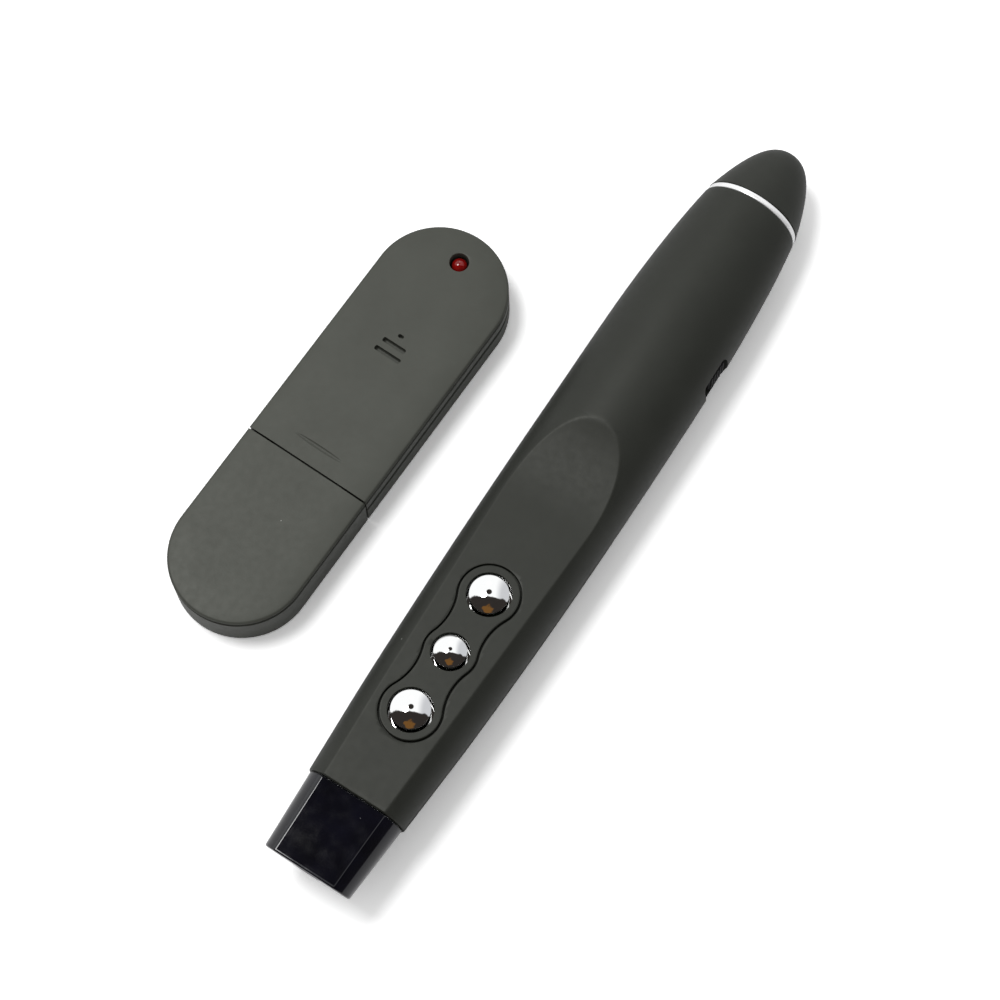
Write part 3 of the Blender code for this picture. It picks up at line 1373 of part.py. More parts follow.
    board_start = PLUG_REAR_X + SEAT_GAP
    bare = RECEIVER_WALL + PART_GAP
    outline = stick_outline(board_start, far, bare)
    half = RECEIVER_BOARD_WIDTH / 2
    outline = [(x, max(-half, min(half, y))) for x, y in outline]
    slab = prism(outline, (RECEIVER_BOARD_BOTTOM, RECEIVER_BOARD_TOP))
    add("receiver_board", slab, receiver, board)
    low = RECEIVER_BOARD_TOP + SEAT_GAP
    chip_x = board_start + CHIP_SIDE
    add(
        "receiver_chip",
        box(around(chip_x, CHIP_SIDE), around(0, CHIP_SIDE), (low, low + CHIP_HEIGHT)),
        receiver,
        black,
    )
    crystal = rounded_box(
        around(chip_x + CHIP_SIDE + CRYSTAL_LENGTH / 2, CRYSTAL_LENGTH),
        around(0, CRYSTAL_WIDTH),
        (low, low + CRYSTAL_HEIGHT),
        CRYSTAL_WIDTH / 5,
    )
    add("receiver_crystal", crystal, receiver, steel)
    light_top = RECEIVER_HEIGHT - STATUS_LIGHT_RECESS
    radius = STATUS_LIGHT_DIAMETER / 2
    dome = [
        (radius * math.sin(k * HALF_TURN / 12), light_top - radius + radius * math.cos(k * HALF_TURN / 12))
        for k in range(7)
    ]
    add(
        "status_light",
        lathe([*dome, (radius, low), (0, low)], BUTTON_SIDES),
        receiver,
        red,
        Vector((STATUS_X, 0, 0)),
    )


def main():
    clear_scene()
    plastic = finish("soft touch black", (0.052, 0.053, 0.048), 0.62)
    gloss = finish("smoked gloss black", (0.008, 0.008, 0.014), 0.06)
    chrome = finish("chrome", (0.82, 0.82, 0.82), 0.05, 1.0)
    silver = finish("bright silver", (0.86, 0.86, 0.86), 0.2, 1.0)
    black = finish("black plastic", (0.02, 0.02, 0.02), 0.45)
    board = finish("green circuit board", (0.02, 0.12, 0.05), 0.4)
    steel = finish("bright steel", (0.6, 0.6, 0.6), 0.3, 1.0)
    brass = finish("brass", (0.72, 0.5, 0.2), 0.3, 1.0)
    gold = finish("gold plate", (0.85, 0.62, 0.2), 0.2, 1.0)
    glass = finish("lens glass", (0.75, 0.8, 0.85), 0.02, 0.0, 0.35)
    wrap = finish("battery wrap", (0.12, 0.13, 0.15), 0.35, 0.3)
    red = finish("red light", (0.35, 0.005, 0.005), 0.1)

    turn = math.radians(RECEIVER_ANGLE_DEGREES)
    reach = (RECEIVER_LENGTH / 2 - RECEIVER_RADIUS) * abs(math.sin(turn)) + RECEIVER_RADIUS
    pen_y = (RECEIVER_ASIDE + reach - HALF_WIDTH) / 2
    pen = empty("pen", (0, pen_y, 0))
    deck = empty("deck", (LASER_BUTTON_X, 0, face_z(LASER_BUTTON_X)), (0, -FACE_ANGLE, 0), pen)
    receiver = empty("receiver", (RECEIVER_AHEAD, pen_y - RECEIVER_ASIDE, 0), (0, 0, turn))

    make_pen_shells(pen, deck, plastic)
    make_nose(pen, gloss)
    make_laser(pen, brass, steel, glass, board)
    make_tail(pen, plastic, silver)
    make_keypad(deck, plastic, chrome, black, board, steel)
    make_power(pen, steel, wrap, black, board)
    make_case_screws(pen, steel)
    make_receiver(receiver, plastic, steel, black, gold, red, board)
    bpy.context.view_layer.update()
    for label in ("page_up_button", "laser_button", "page_down_button", "power_knob", "battery_door"):
        place = bpy.data.objects[label].matrix_world.translation
        print(label, [round(value, 5) for value in place])
    print("hinge", [round(value, 5) for value in bpy.data.objects["door_hinge"].matrix_world.translation])


main()
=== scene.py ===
import math

import bmesh
import bpy
from mathutils import Matrix, Vector


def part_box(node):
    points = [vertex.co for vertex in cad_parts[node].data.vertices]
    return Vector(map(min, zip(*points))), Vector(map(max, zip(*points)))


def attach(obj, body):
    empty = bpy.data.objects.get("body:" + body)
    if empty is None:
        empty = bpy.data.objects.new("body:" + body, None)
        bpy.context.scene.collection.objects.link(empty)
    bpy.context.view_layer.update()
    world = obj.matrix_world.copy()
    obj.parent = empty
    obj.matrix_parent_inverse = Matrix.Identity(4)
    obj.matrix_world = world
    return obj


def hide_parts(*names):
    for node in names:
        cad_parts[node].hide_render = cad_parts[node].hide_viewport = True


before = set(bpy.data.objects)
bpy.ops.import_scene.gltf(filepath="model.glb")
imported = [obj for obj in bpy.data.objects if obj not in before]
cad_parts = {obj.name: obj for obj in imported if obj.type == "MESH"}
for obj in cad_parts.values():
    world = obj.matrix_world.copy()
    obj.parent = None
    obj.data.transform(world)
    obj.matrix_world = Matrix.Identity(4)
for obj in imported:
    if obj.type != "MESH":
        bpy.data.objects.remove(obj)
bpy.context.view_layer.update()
print("frame loaded")

mm = 0.001
turn = 2 * math.pi
origin = Vector((0, 0, 0))
unmoved = Matrix.Identity(4)
alongX = Matrix.Rotation(math.pi / 2, 4, "Y")  # lays a turned piece's axis along X
overrun = 1 * mm  # how far a cutter runs past what it cuts
farOut = 5 * mm  # the same, for cuts through a whole shell
cornerShare = 0.3  # where the middle point of a softened corner lies
rimAngle = math.radians(50)  # edges sharper than this get a rounded rim


def boxOf(*nodes):
    lows, highs = zip(*(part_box(node) for node in nodes))
    low = Vector([min(corner[i] for corner in lows) for i in range(3)])
    high = Vector([max(corner[i] for corner in highs) for i in range(3)])
    return low, high


def centreOf(*nodes):
    return [(a + b) / 2 for a, b in zip(*boxOf(*nodes))]


shellLow, shellHigh = boxOf("upper_shell")
noseHigh = boxOf("nose_window")[1]
tailHigh = boxOf("tail_cap")[1]
penY = centreOf("upper_shell")[1]
penPlace = Matrix.Translation((0, penY, 0))

# shared shape of the pen's body
penBody = {
    "halfWidth": (shellHigh.y - shellLow.y) / 2,
    "heightShare": 0.7783,
    "bellyFlat": 0.35 * mm,
    "noseRise": 2.6 * mm,
    "wall": 1.3 * mm,
    "gap": 0.3 * mm,
    "faceHeight": 12.8 * mm,  # thumb face at its rear, and how far it climbs to the nose
    "faceClimb": 1.4 * mm,
    "faceLength": 51.1875 * mm,
    "scoopRadius": 44 * mm,
    "scoopLimit": 0.98,  # the run-out stops at this share of its radius
    "creaseSoftness": 0.16 * mm,
    "tailLength": 11.95 * mm,
    "ringWidth": 0.9 * mm,
    "ringShift": 0.33 * mm,
    "lean": math.tan(math.radians(7.57)),  # the tail ring's top leans back, its left side too
    "skew": math.tan(math.radians(-0.73)),
    "leanReach": 9 * mm,
    "sway": 0.25 * mm,
    "swayReach": 45 * mm,
    # place along the body and half width there
    "widths": (
        (0.0, 0.797),
        (0.04, 0.856),
        (0.08, 0.902),
        (0.14, 0.950),
        (0.20, 0.981),
        (0.28, 0.996),
        (0.36, 1.0),
        (0.50, 1.0),
        (0.62, 0.988),
        (0.74, 0.958),
        (0.86, 0.911),
        (0.94, 0.862),
        (1.0, 0.823),
    ),
}
crowding = {"samples": 6, "width": 0.05, "extra": 6}  # draws points together at the creases
bodyGap = penBody["gap"]
ringX = centreOf("silver_ring")[0] - penBody["ringWidth"] / 2 + penBody["ringShift"]
bodyX = ringX + penBody["ringWidth"]
frontX = shellHigh.x
bodyLength = frontX - ringX
axisHeight = penBody["halfWidth"] * penBody["heightShare"] - penBody["bellyFlat"]
faceStart = frontX - penBody["faceLength"]
faceSlope = penBody["faceClimb"] / (frontX - faceStart)
faceAngle = math.atan(faceSlope)


def shareAt(table, at):
    # a smooth curve through the table's points
    places = [place for place, _ in table]
    sizes = [size for _, size in table]
    steps = [(sizes[k + 1] - sizes[k]) / (places[k + 1] - places[k]) for k in range(len(table) - 1)]
    slopes = [steps[0]] + [(a + b) / 2 for a, b in zip(steps, steps[1:])] + [steps[-1]]
    k = 0
    while k < len(steps) - 1 and at > places[k + 1]:
        k += 1
    span = places[k + 1] - places[k]
    t = (at - places[k]) / span
    first = (2 * t**3 - 3 * t**2 + 1) * sizes[k] + (t**3 - 2 * t**2 + t) * span * slopes[k]
    second = (3 * t**2 - 2 * t**3) * sizes[k + 1] + (t**3 - t**2) * span * slopes[k + 1]
    return first + second


def halfWidthAt(x):
    along = min(max((x - ringX) / bodyLength, 0), 1)
    return penBody["halfWidth"] * shareAt(penBody["widths"], along)


def axisZ(x):
    return axisHeight + penBody["noseRise"] * (max(x, 0) / noseHigh.x) ** 2


def faceZ(x):
    # the thumb face: a plane, with a concave run-out at its rear
    plane = penBody["faceHeight"] + faceSlope * (x - faceStart)
    radius = penBody["scoopRadius"]
    centreX = faceStart - radius * math.sin(faceAngle)
    if x >= faceStart:
        return plane
    level = penBody["faceHeight"] + radius * math.cos(faceAngle)
    reach = min(abs(x - centreX), radius * penBody["scoopLimit"])
    return level - math.sqrt(radius**2 - reach**2)


def softMin(a, b, softness):
    near = max(softness - abs(a - b), 0) / softness
    return min(a, b) - near * near * softness / 4


def fading(x, reach):
    away = min(max((x - bodyX) / reach, 0), 1)
    return 1 - away**2 * (3 - 2 * away)


def leaning(point, share=1):
    # the tail ring's lean, which fades out along the shell
    shift = penBody["lean"] * (point.z - axisHeight) + penBody["skew"] * point.y
    aside = penBody["sway"] * fading(point.x, penBody["swayReach"])
    x = point.x - share * fading(point.x, penBody["leanReach"]) * shift
    return Vector((x, point.y - aside, point.z))


def bodyPoint(x, angle, inset=0, share=1):
    width = halfWidthAt(x) - inset
    height = halfWidthAt(x) * penBody["heightShare"] - inset
    z = axisZ(x) + height * math.sin(angle)
    z = softMin(z, faceZ(x) - inset, penBody["creaseSoftness"])
    return leaning(Vector((x, width * math.cos(angle), max(z, inset))), share)


def creaseAngle(x):
    rise = (faceZ(x) - axisZ(x)) / (halfWidthAt(x) * penBody["heightShare"])
    return math.asin(min(max(rise, 0.1), 1))


def creasedAngles(sides, crease):
    # angles round a section, closer together at the two creases of its flat top
    half = sides // 2
    steps = crowding["samples"] * half
    shares = []
    for j in range(steps):
        angle = math.pi * (j + 0.5) / steps
        near = min(abs(angle - crease), abs(math.pi - angle - crease)) / crowding["width"]
        shares.append(1 + crowding["extra"] * math.exp(-near * near))
    total = sum(shares)
    angles = [0]
    gathered = 0
    j = 0
    for k in range(1, half):
        goal = total * k / half
        while gathered + shares[j] < goal:
            gathered += shares[j]
            j += 1
        angles.append(math.pi * (j + (goal - gathered) / shares[j]) / steps)
    return angles + [turn * k / sides for k in range(half, sides)]


def spaced(start, end, count):
    return [start + (end - start) * k / (count - 1) for k in range(count)]


def around(centre, size):
    return (centre - size / 2, centre + size / 2)


def quarter(steps):
    # a quarter turn, as pairs of 1 - sine and 1 - cosine
    angles = [turn / 4 * k / steps for k in range(steps + 1)]
    return [(1 - math.sin(angle), 1 - math.cos(angle)) for angle in angles]


def sweep(sides, rows, place, ends="open"):
    # a ring pulled along its axis row by row, then each point moved to place(k, row)
    bm = bmesh.new()
    bmesh.ops.create_circle(bm, segments=sides, radius=1)
    ring = bm.verts[:] + bm.edges[:]
    upwards = (0, 0, 1)
    bmesh.ops.spin(bm, geom=ring, cent=origin, axis=upwards, dvec=upwards, angle=0, steps=rows - 1)
    first = [e for e in bm.edges if all(v.co.z < 0.5 for v in e.verts)]
    last = [e for e in bm.edges if all(v.co.z > rows - 1.5 for v in e.verts)]
    if ends == "looped":
        bmesh.ops.bridge_loops(bm, edges=first + last)
    if ends == "capped":
        bmesh.ops.contextual_create(bm, geom=first)
        bmesh.ops.contextual_create(bm, geom=last)
    for vert in bm.verts:
        k = round(math.atan2(vert.co.y, vert.co.x) / turn * sides) % sides
        vert.co = place(k, round(vert.co.z))
    return bm


def lathe(profile, sides, place=unmoved):
    # profile of (radius, height) points, turned about Z
    bm = bmesh.new()
    points = [bm.verts.new((radius, 0, height)) for radius, height in profile]
    edges = [bm.edges.new(pair) for pair in zip(points, points[1:])]
    bmesh.ops.spin(
        bm,
        geom=points + edges,
        cent=origin,
        axis=(0, 0, 1),
        angle=turn,
        steps=sides,
        use_merge=True,
    )
    bmesh.ops.remove_doubles(bm, verts=bm.verts, dist=0.0002 * mm)
    bmesh.ops.transform(bm, matrix=place, verts=bm.verts)
    bmesh.ops.recalc_face_normals(bm, faces=bm.faces)
    return bm


def drill(radius, bottom, top, sides, place):
    # a round cutter
    return lathe([(0, top), (radius, top), (radius, bottom), (0, bottom)], sides, place)


def block(x, y, z, radius=0, axis=None, segments=4):
    # a box between three pairs of limits, with its edges rounded, or only those along one axis
    bm = bmesh.new()
    size = Vector((x[1] - x[0], y[1] - y[0], z[1] - z[0]))
    centre = Vector((x[1] + x[0], y[1] + y[0], z[1] + z[0])) / 2
    place = Matrix.Translation(centre) @ Matrix.Diagonal((*size, 1))
    bmesh.ops.create_cube(bm, size=1, matrix=place)
    if radius:
        edges = bm.edges[:]
        if axis is not None:
            ways = [(e.verts[0].co - e.verts[1].co).normalized() for e in edges]
            edges = [e for e, way in zip(edges, ways) if abs(way[axis]) > 0.9]
        bmesh.ops.bevel(
            bm,
            geom=edges,
            affect="EDGES",
            offset=radius,
            segments=segments,
            profile=0.5,
            material=-1,
        )
    return bm


def merge(*pieces):
    # several bmeshes in one
    whole = bmesh.new()
    holder = bpy.data.meshes.new("holder")
    for bm in pieces:
        bmesh.ops.recalc_face_normals(bm, faces=bm.faces)
        bm.to_mesh(holder)
        bm.free()
        whole.from_mesh(holder)
    bpy.data.meshes.remove(holder)
    return whole


def islands(bm):
    # each island's faces, its volume, and whether it is closed
    left = set(bm.faces)
    while left:
        island = [left.pop()]
        for face in island:
            for edge in face.edges:
                for other in edge.link_faces:
                    if other in left:
                        left.remove(other)
                        island.append(other)
        heights = [face.calc_center_median().dot(face.normal) for face in island]
        volume = sum(height * face.calc_area() / 3 for height, face in zip(heights, island))
        closed = all(len(edge.link_faces) == 2 for face in island for edge in face.edges)
        yield island, volume, closed


def asObject(name, bm, recalc=True):
    if recalc:
        bmesh.ops.recalc_face_normals(bm, faces=bm.faces)
        for island, volume, closed in list(islands(bm)):
            if closed and volume < 0:
                bmesh.ops.reverse_faces(bm, faces=island)
    mesh = bpy.data.meshes.new(name)
    bm.to_mesh(mesh)
    bm.free()
    made = bpy.data.objects.new(name, mesh)
    bpy.context.scene.collection.objects.link(made)
    return made


def discard(obj):
    mesh = obj.data
    bpy.data.objects.remove(obj)
    bpy.data.meshes.remove(mesh)


def finishWith(made, whole, pieces):
    # adds smaller objects to a bmesh, and puts it in the finished object
    for piece in pieces:
        whole.from_mesh(piece.data)
        discard(piece)
    whole.to_mesh(made.data)
    whole.free()


def settle(obj):
    # works the modifiers into the mesh
    bpy.context.view_layer.update()
    graph = bpy.context.evaluated_depsgraph_get()
    settled = bpy.data.meshes.new_from_object(obj.evaluated_get(graph))
    old = obj.data
    obj.modifiers.clear()
    obj.data = settled
    settled.name = obj.name
    bpy.data.meshes.remove(old)


def shape(obj, cutters=(), joined=(), kept=(), thickness=0, rim=0):
    # wall, rounded rims and cuts, worked into the mesh
    if thickness:
        wall = obj.modifiers.new("wall", "SOLIDIFY")
        wall.thickness = thickness
        wall.offset = -1
        wall.use_even_offset = True
    if rim:
        rounded = obj.modifiers.new("rim", "BEVEL")
        rounded.width = rim
        rounded.segments = 3
        rounded.limit_method = "ANGLE"
        rounded.angle_limit = rimAngle
        rounded.use_clamp_overlap = False
    helpers = []
    for operation, tools in (("INTERSECT", kept), ("UNION", joined), ("DIFFERENCE", cutters)):
        for bm in tools:
            tool = asObject("tool", bm)
            helpers.append(tool)
            change = obj.modifiers.new(operation.lower(), "BOOLEAN")
            change.operation = operation
            change.solver = "EXACT"
            change.object = tool
    settle(obj)
    for tool in helpers:
        discard(tool)
    return obj


def dress(obj, place, body, nodes, slot, material, smoothAngle=30, flats=False):
    # puts a finished piece in the row frame, on its body, in place of its CAD nodes
    obj.data.transform(place)
    obj.data.shade_smooth()
    obj.data.set_sharp_from_angle(angle=math.radians(smoothAngle))
    if flats:
        level = obj.modifiers.new("level", "WEIGHTED_NORMAL")  # flats shade flat up to their cuts
        level.keep_sharp = True
        level.weight = 100
        settle(obj)
    obj.data.materials.clear()
    obj.data.materials.append(material)
    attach(obj, body)
    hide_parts(*nodes)
    print(f"{obj.name}: {len(obj.data.polygons)} faces")


# finishes
def setInputs(tree, node, inputs):
    # each input gets its value or its link
    for socket, value in inputs.items():
        if isinstance(value, bpy.types.NodeSocket):
            tree.links.new(value, node.inputs[socket])
        else:
            node.inputs[socket].default_value = value


def addNode(tree, kind, inputs, **options):
    node = tree.nodes.new(kind)
    for option, value in options.items():
        setattr(node, option, value)
    setInputs(tree, node, inputs)
    return node


def addMix(tree, factor, a, b):
    inputs = {"Factor": factor, "A": a, "B": b}
    return addNode(tree, "ShaderNodeMix", inputs, data_type="RGBA").outputs["Result"]


def newMaterial(name, colour, roughness, metallic=0):
    made = bpy.data.materials.new(name)
    made.use_nodes = True
    shader = made.node_tree.nodes["Principled BSDF"]
    inputs = {"Base Color": (*colour, 1), "Roughness": roughness, "Metallic": metallic}
    setInputs(made.node_tree, shader, inputs)
    return made, made.node_tree, shader


def grey(*levels):
    return [(level,) * 3 for level in levels]


def objectNoise(tree, scale, detail):
    place = addNode(tree, "ShaderNodeTexCoord", {})
    inputs = {"Scale": scale, "Detail": detail, "Vector": place.outputs["Object"]}
    return addNode(tree, "ShaderNodeTexNoise", inputs).outputs["Fac"]


def addNoise(tree, scale, detail, low, high, colours):
    # noise spread between two colours
    spread = addNode(tree, "ShaderNodeValToRGB", {"Fac": objectNoise(tree, scale, detail)})
    elements = spread.color_ramp.elements
    for element, position, colour in zip(elements, (low, high), colours):
        element.position = position
        element.color = (*colour, 1)
    return spread.outputs["Color"]


def addBump(tree, scale, strength, distance):
    height = objectNoise(tree, scale, 3)
    inputs = {"Strength": strength, "Distance": distance, "Height": height}
    return addNode(tree, "ShaderNodeBump", inputs).outputs["Normal"]


def addSpecks(tree, base, size, radius, share, colour):
    # a few grains of dust: small dots in some cells of a Voronoi pattern
    place = addNode(tree, "ShaderNodeTexCoord", {})
    inputs = {"Scale": 1 / size, "Vector": place.outputs["Object"]}
    cells = addNode(tree, "ShaderNodeTexVoronoi", inputs)
    chosen = addNode(tree, "ShaderNodeSeparateColor", {"Color": cells.outputs["Color"]})
    limits = ((cells.outputs["Distance"], radius / size), (chosen.outputs["Red"], share))
    tests = []
    for tested, limit in limits:
        test = addNode(tree, "ShaderNodeMath", {0: tested, 1: limit}, operation="LESS_THAN")
        tests.append(test.outputs["Value"])
    both = addNode(tree, "ShaderNodeMath", dict(enumerate(tests)), operation="MULTIPLY")
    return addMix(tree, both.outputs["Value"], base, (*colour, 1))


def softTouchPlastic(name, dark, light, roughness):
    settings = {
        "reflectance": 0.3,
        "tint": (1.0, 1.01, 0.95),
        "mottling": 160,
        "dust": (0.25, 0.26, 0.24),
        "dustSpacing": 5 * mm,
        "dustSize": 0.1 * mm,
        "dustShare": 0.5,
        "wear": 900,
        "grain": 9000,
        "grainStrength": 0.12,
        "grainDepth": 0.01 * mm,
    }
    made, tree, shader = newMaterial(name, dark, roughness)
    mottled = addNoise(tree, settings["mottling"], 6, 0.3, 0.7, (dark, light))
    dust = [settings[key] for key in ("dustSpacing", "dustSize", "dustShare", "dust")]
    roughnesses = grey(roughness * 0.93, roughness * 1.07)
    bump = [settings[key] for key in ("grain", "grainStrength", "grainDepth")]
    inputs = {
        "Specular IOR Level": settings["reflectance"],
        "Specular Tint": (*settings["tint"], 1),
        "Base Color": addSpecks(tree, mottled, *dust),
        "Roughness": addNoise(tree, settings["wear"], 4, 0.3, 0.7, roughnesses),
        "Normal": addBump(tree, *bump),
    }
    setInputs(tree, shader, inputs)
    return made


def smokedGloss():
    made, tree, shader = newMaterial("smokedGloss", (0.003, 0.003, 0.006), 0.06)
    colours = ((0.002, 0.002, 0.004), (0.004, 0.004, 0.009))
    clouded = addNoise(tree, 220, 3, 0.35, 0.75, colours)
    inputs = {
        "Specular IOR Level": 0.5,
        "Sheen Weight": 0.8,
        "Sheen Roughness": 0.3,
        "Base Color": addSpecks(tree, clouded, 2.2 * mm, 0.06 * mm, 0.3, (0.2, 0.2, 0.2)),
        "Roughness": addNoise(tree, 500, 3, 0.4, 0.7, grey(0.05, 0.09)),
    }
    setInputs(tree, shader, inputs)
    return made


def metal(name, colour, rough, metallic=1):
    made, tree, shader = newMaterial(name, colour, rough, metallic)
    brushed = addNoise(tree, 1500, 4, 0.3, 0.7, grey(rough * 0.8, rough * 1.25))
    setInputs(tree, shader, {"Roughness": brushed})
    return made


def plainPlastic(name, dark, light, rough, scale=400, reflectance=0.5):
    made, tree, shader = newMaterial(name, dark, rough)
    mottled = addNoise(tree, scale, 4, 0.35, 0.65, (dark, light))
    setInputs(tree, shader, {"Specular IOR Level": reflectance, "Base Color": mottled})
    return made


def clearLens():
    made, tree, shader = newMaterial("clearLens", (0.75, 0.8, 0.85), 0.02)
    smeared = addNoise(tree, 700, 2, 0.4, 0.6, grey(0.015, 0.03))
    setInputs(tree, shader, {"Alpha": 0.35, "Roughness": smeared})
    return made


softTouch = softTouchPlastic(
    "softTouchPlastic", (0.019, 0.0203, 0.0165), (0.0225, 0.024, 0.0198), 0.46
)
satinShell = softTouchPlastic(
    "satinShellPlastic", (0.055, 0.0575, 0.0485), (0.063, 0.066, 0.056), 0.46
)
gloss = smokedGloss()
chrome = metal("domeChrome", (0.93, 0.93, 0.92), 0.03)
# painted reflection: the ring's near-white, mostly matt base colour stands in for the white room
# mirrored in its chrome, so it stays white wherever it faces
silver = metal("ringSilverPaintedReflection", (0.97, 0.97, 0.97), 0.25, metallic=0.3)
steel = metal("brightSteel", (0.62, 0.62, 0.62), 0.3)
plugSteel = metal("plugSteel", (0.7, 0.7, 0.7), 0.24)
brass = metal("turnedBrass", (0.72, 0.5, 0.2), 0.3)
gold = metal("goldPlate", (0.85, 0.62, 0.2), 0.2)
black = plainPlastic("satinBlack", (0.015, 0.015, 0.016), (0.022, 0.022, 0.023), 0.42)
knobBlack = plainPlastic(
    "knobBlack", (0.007, 0.007, 0.0075), (0.010, 0.010, 0.0105), 0.5, reflectance=0.18
)
board = plainPlastic("solderMask", (0.015, 0.09, 0.035), (0.025, 0.13, 0.055), 0.35, 900)
wrap = plainPlastic("cellSleeve", (0.10, 0.11, 0.13), (0.13, 0.14, 0.16), 0.32)
lens = clearLens()
red = plainPlastic("redLight", (0.19, 0.003, 0.003), (0.27, 0.005, 0.004), 0.05, 1200)
print("finishes ready")


# shells
shells = {
    "sides": 160,
    "archReach": 17.5 * mm,
    "rearRows": 46,
    "archRows": 44,
    "frontRows": 82,
    "doorRows": 72,
    "rim": 0.15 * mm,
    "lowerRim": 0.1 * mm,
    "doorCorner": 1.8 * mm,
    "rib": 1.2 * mm,
    "innerWallInset": 0.6,  # inner walls reach this share into the shell's own wall
}
lowerLow = boxOf("lower_shell")[0]
doorLow, doorHigh = boxOf("battery_door")
splitX = lowerLow.x - bodyGap
doorFront = splitX - bodyGap
doorBack = doorLow.x
doorHalf = (doorHigh.y - doorLow.y) / 2
laserX = centreOf("laser_button")[0]
deckTilt = Matrix.Rotation(-faceAngle, 4, "Y")
deckPlace = penPlace @ Matrix.Translation((laserX, 0, faceZ(laserX))) @ deckTilt
deckInPen = penPlace.inverted() @ deckPlace
caseScrews = {"rear_case_screw": "rearCaseScrew", "front_case_screw": "frontCaseScrew"}


def seamAngle(x):
    # how far above or below the axis the rims at the parting line stop
    return math.asin(bodyGap / 2 / (halfWidthAt(x) * penBody["heightShare"]))


def shellSurface(stations, keepLower, keepUpper):
    # an open sheet: the body's outside, of which each half is kept where its test says so
    sides = shells["sides"]
    angles = [creasedAngles(sides, creaseAngle(x)) for x in stations]

    def place(k, row):
        x = stations[row]
        angle = angles[row][k % sides]
        if k in (0, sides // 2):
            lift = seamAngle(x) * (keepUpper(x) - keepLower(x))
            angle += lift if k == 0 else -lift
        return bodyPoint(x, angle)

    bm = sweep(sides, len(stations), lambda k, row: Vector((k, row, 0)))
    doomed = []
    for face in bm.faces:
        ks = [round(v.co.x) for v in face.verts]
        wraps = max(ks) - min(ks) > sides / 2
        upper = not wraps and sum(ks) / len(ks) < sides / 2
        x = stations[max(round(v.co.y) for v in face.verts)]
        if not (keepUpper(x) if upper else keepLower(x)):
            doomed.append(face)
    bmesh.ops.delete(bm, geom=doomed, context="FACES")
    for vert in bm.verts:
        vert.co = place(round(vert.co.x), round(vert.co.y))
    bm.normal_update()
    outward = 0
    for face in bm.faces:
        at = face.calc_center_median()
        outward += face.normal.dot(at - Vector((at.x, 0, axisZ(at.x))))
    if outward < 0:
        bmesh.ops.reverse_faces(bm, faces=bm.faces)
    return bm


# keypad and buttons: shapes that the shell is cut by
keypad = {
    "endRadius": 4.6 * mm,
    "middleRadius": 4.0 * mm,
    "neckRadius": 9 * mm,
    "spacing": 10.5 * mm,
    "arcSteps": 24,
    "proud": 0.2 * mm,
    "thickness": 0.95 * mm,
    "edge": 0.12 * mm,
    "flatFrom": 0.15 * mm,
    "holeFlare": 0.08 * mm,
    "holeBottom": -2 * mm,
}
dome = {
    "names": {
        "page_up_button": "pageUpDome",
        "laser_button": "laserDome",
        "page_down_button": "pageDownDome",
    },
    "proud": 1.5 * mm,
    "skirt": 0.5 * mm,
    "edge": 0.08 * mm,
    "rows": 22,
    "slack": 0.14 * mm,
    "flange": 0.6 * mm,  # how much wider than the dome the button's foot is
    "flangeHeights": (-2.35 * mm, -2.95 * mm),
    "stem": 1.6 * mm,
    "foot": -3.3 * mm,
}


def keypadOutline(grow):
    # three lobes in line, joined by drawn-in necks
    steps = keypad["arcSteps"]
    end, centre = keypad["endRadius"] + grow, keypad["middleRadius"] + grow
    neck, reach = keypad["neckRadius"] - grow, keypad["spacing"]
    neckX = (reach**2 + (centre + neck) ** 2 - (end + neck) ** 2) / (2 * reach)
    neckY = math.sqrt((centre + neck) ** 2 - neckX**2)
    endAngle = math.atan2(neckY, neckX - reach)
    centreAngle = math.atan2(neckY, neckX)

    def arc(x, y, radius, start, stop, count):
        angles = [start + (stop - start) * k / count for k in range(count + 1)]
        return [(x + radius * math.cos(a), y + radius * math.sin(a)) for a in angles]

    side = arc(reach, 0, end, 0, endAngle, steps)
    side += arc(neckX, neckY, neck, endAngle - math.pi, centreAngle - math.pi, steps)[1:-1]
    side += arc(0, 0, centre, centreAngle, math.pi / 2, steps // 3)
    half = side + [(-x, y) for x, y in reversed(side[:-1])]
    return half + [(x, -y) for x, y in reversed(half[1:-1])]


def keypadStack(levels):
    # the keypad's outline at several (grow, height) levels, closed at both ends
    outlines = [keypadOutline(grow) for grow, _ in levels]

    def place(k, row):
        return Vector((*outlines[row][k], levels[row][1]))

    return sweep(len(outlines[0]), len(levels), place, ends="capped")


def buttonPlace(node):
    x = centreOf(node)[0]
    return deckPlace.inverted() @ Vector((x, penY, faceZ(x)))


def buttonRadius(node):
    low, high = boxOf(node)
    return (high.y - low.y) / 2 - dome["flange"]


def holeCutter(node, top, bottom, flare):
    # a button's hole, with its upper edge softened
    radius = buttonRadius(node) + bodyGap
    profile = [
        (0, top + overrun),
        (radius + flare, top + overrun),
        (radius + flare, top),
        (radius + flare * cornerShare, top - flare * cornerShare),
        (radius, top - flare),
        (radius, bottom),
        (0, bottom),
    ]
    return lathe(profile, 72, Matrix.Translation((buttonPlace(node).x, 0, 0)))


def cellBore(x):
    # room for the cell through a wall at x
    low, high = boxOf("battery_cell")
    _, y, z = centreOf("battery_cell")
    start, end = x - farOut, x + farOut
    facing = Matrix.Translation((start, y - penY, z)) @ alongX
    return drill((high.z - low.z) / 2 + bodyGap, 0, end - start, 64, facing)


def innerWall(x, thickness, low, bores=()):
    # a wall across the inside of the shell, from the height low upwards
    sides = shells["sides"] // 2
    xs = around(x, thickness)
    inset = penBody["wall"] * shells["innerWallInset"]

    def place(k, row):
        return bodyPoint(xs[row], turn * k / sides, inset, 0)

    made = asObject("innerWall", sweep(sides, 2, place, ends="capped"))
    under = block((x - farOut, x + farOut), around(0, 8 * farOut), (-farOut, low))
    return shape(made, cutters=[under, *bores])


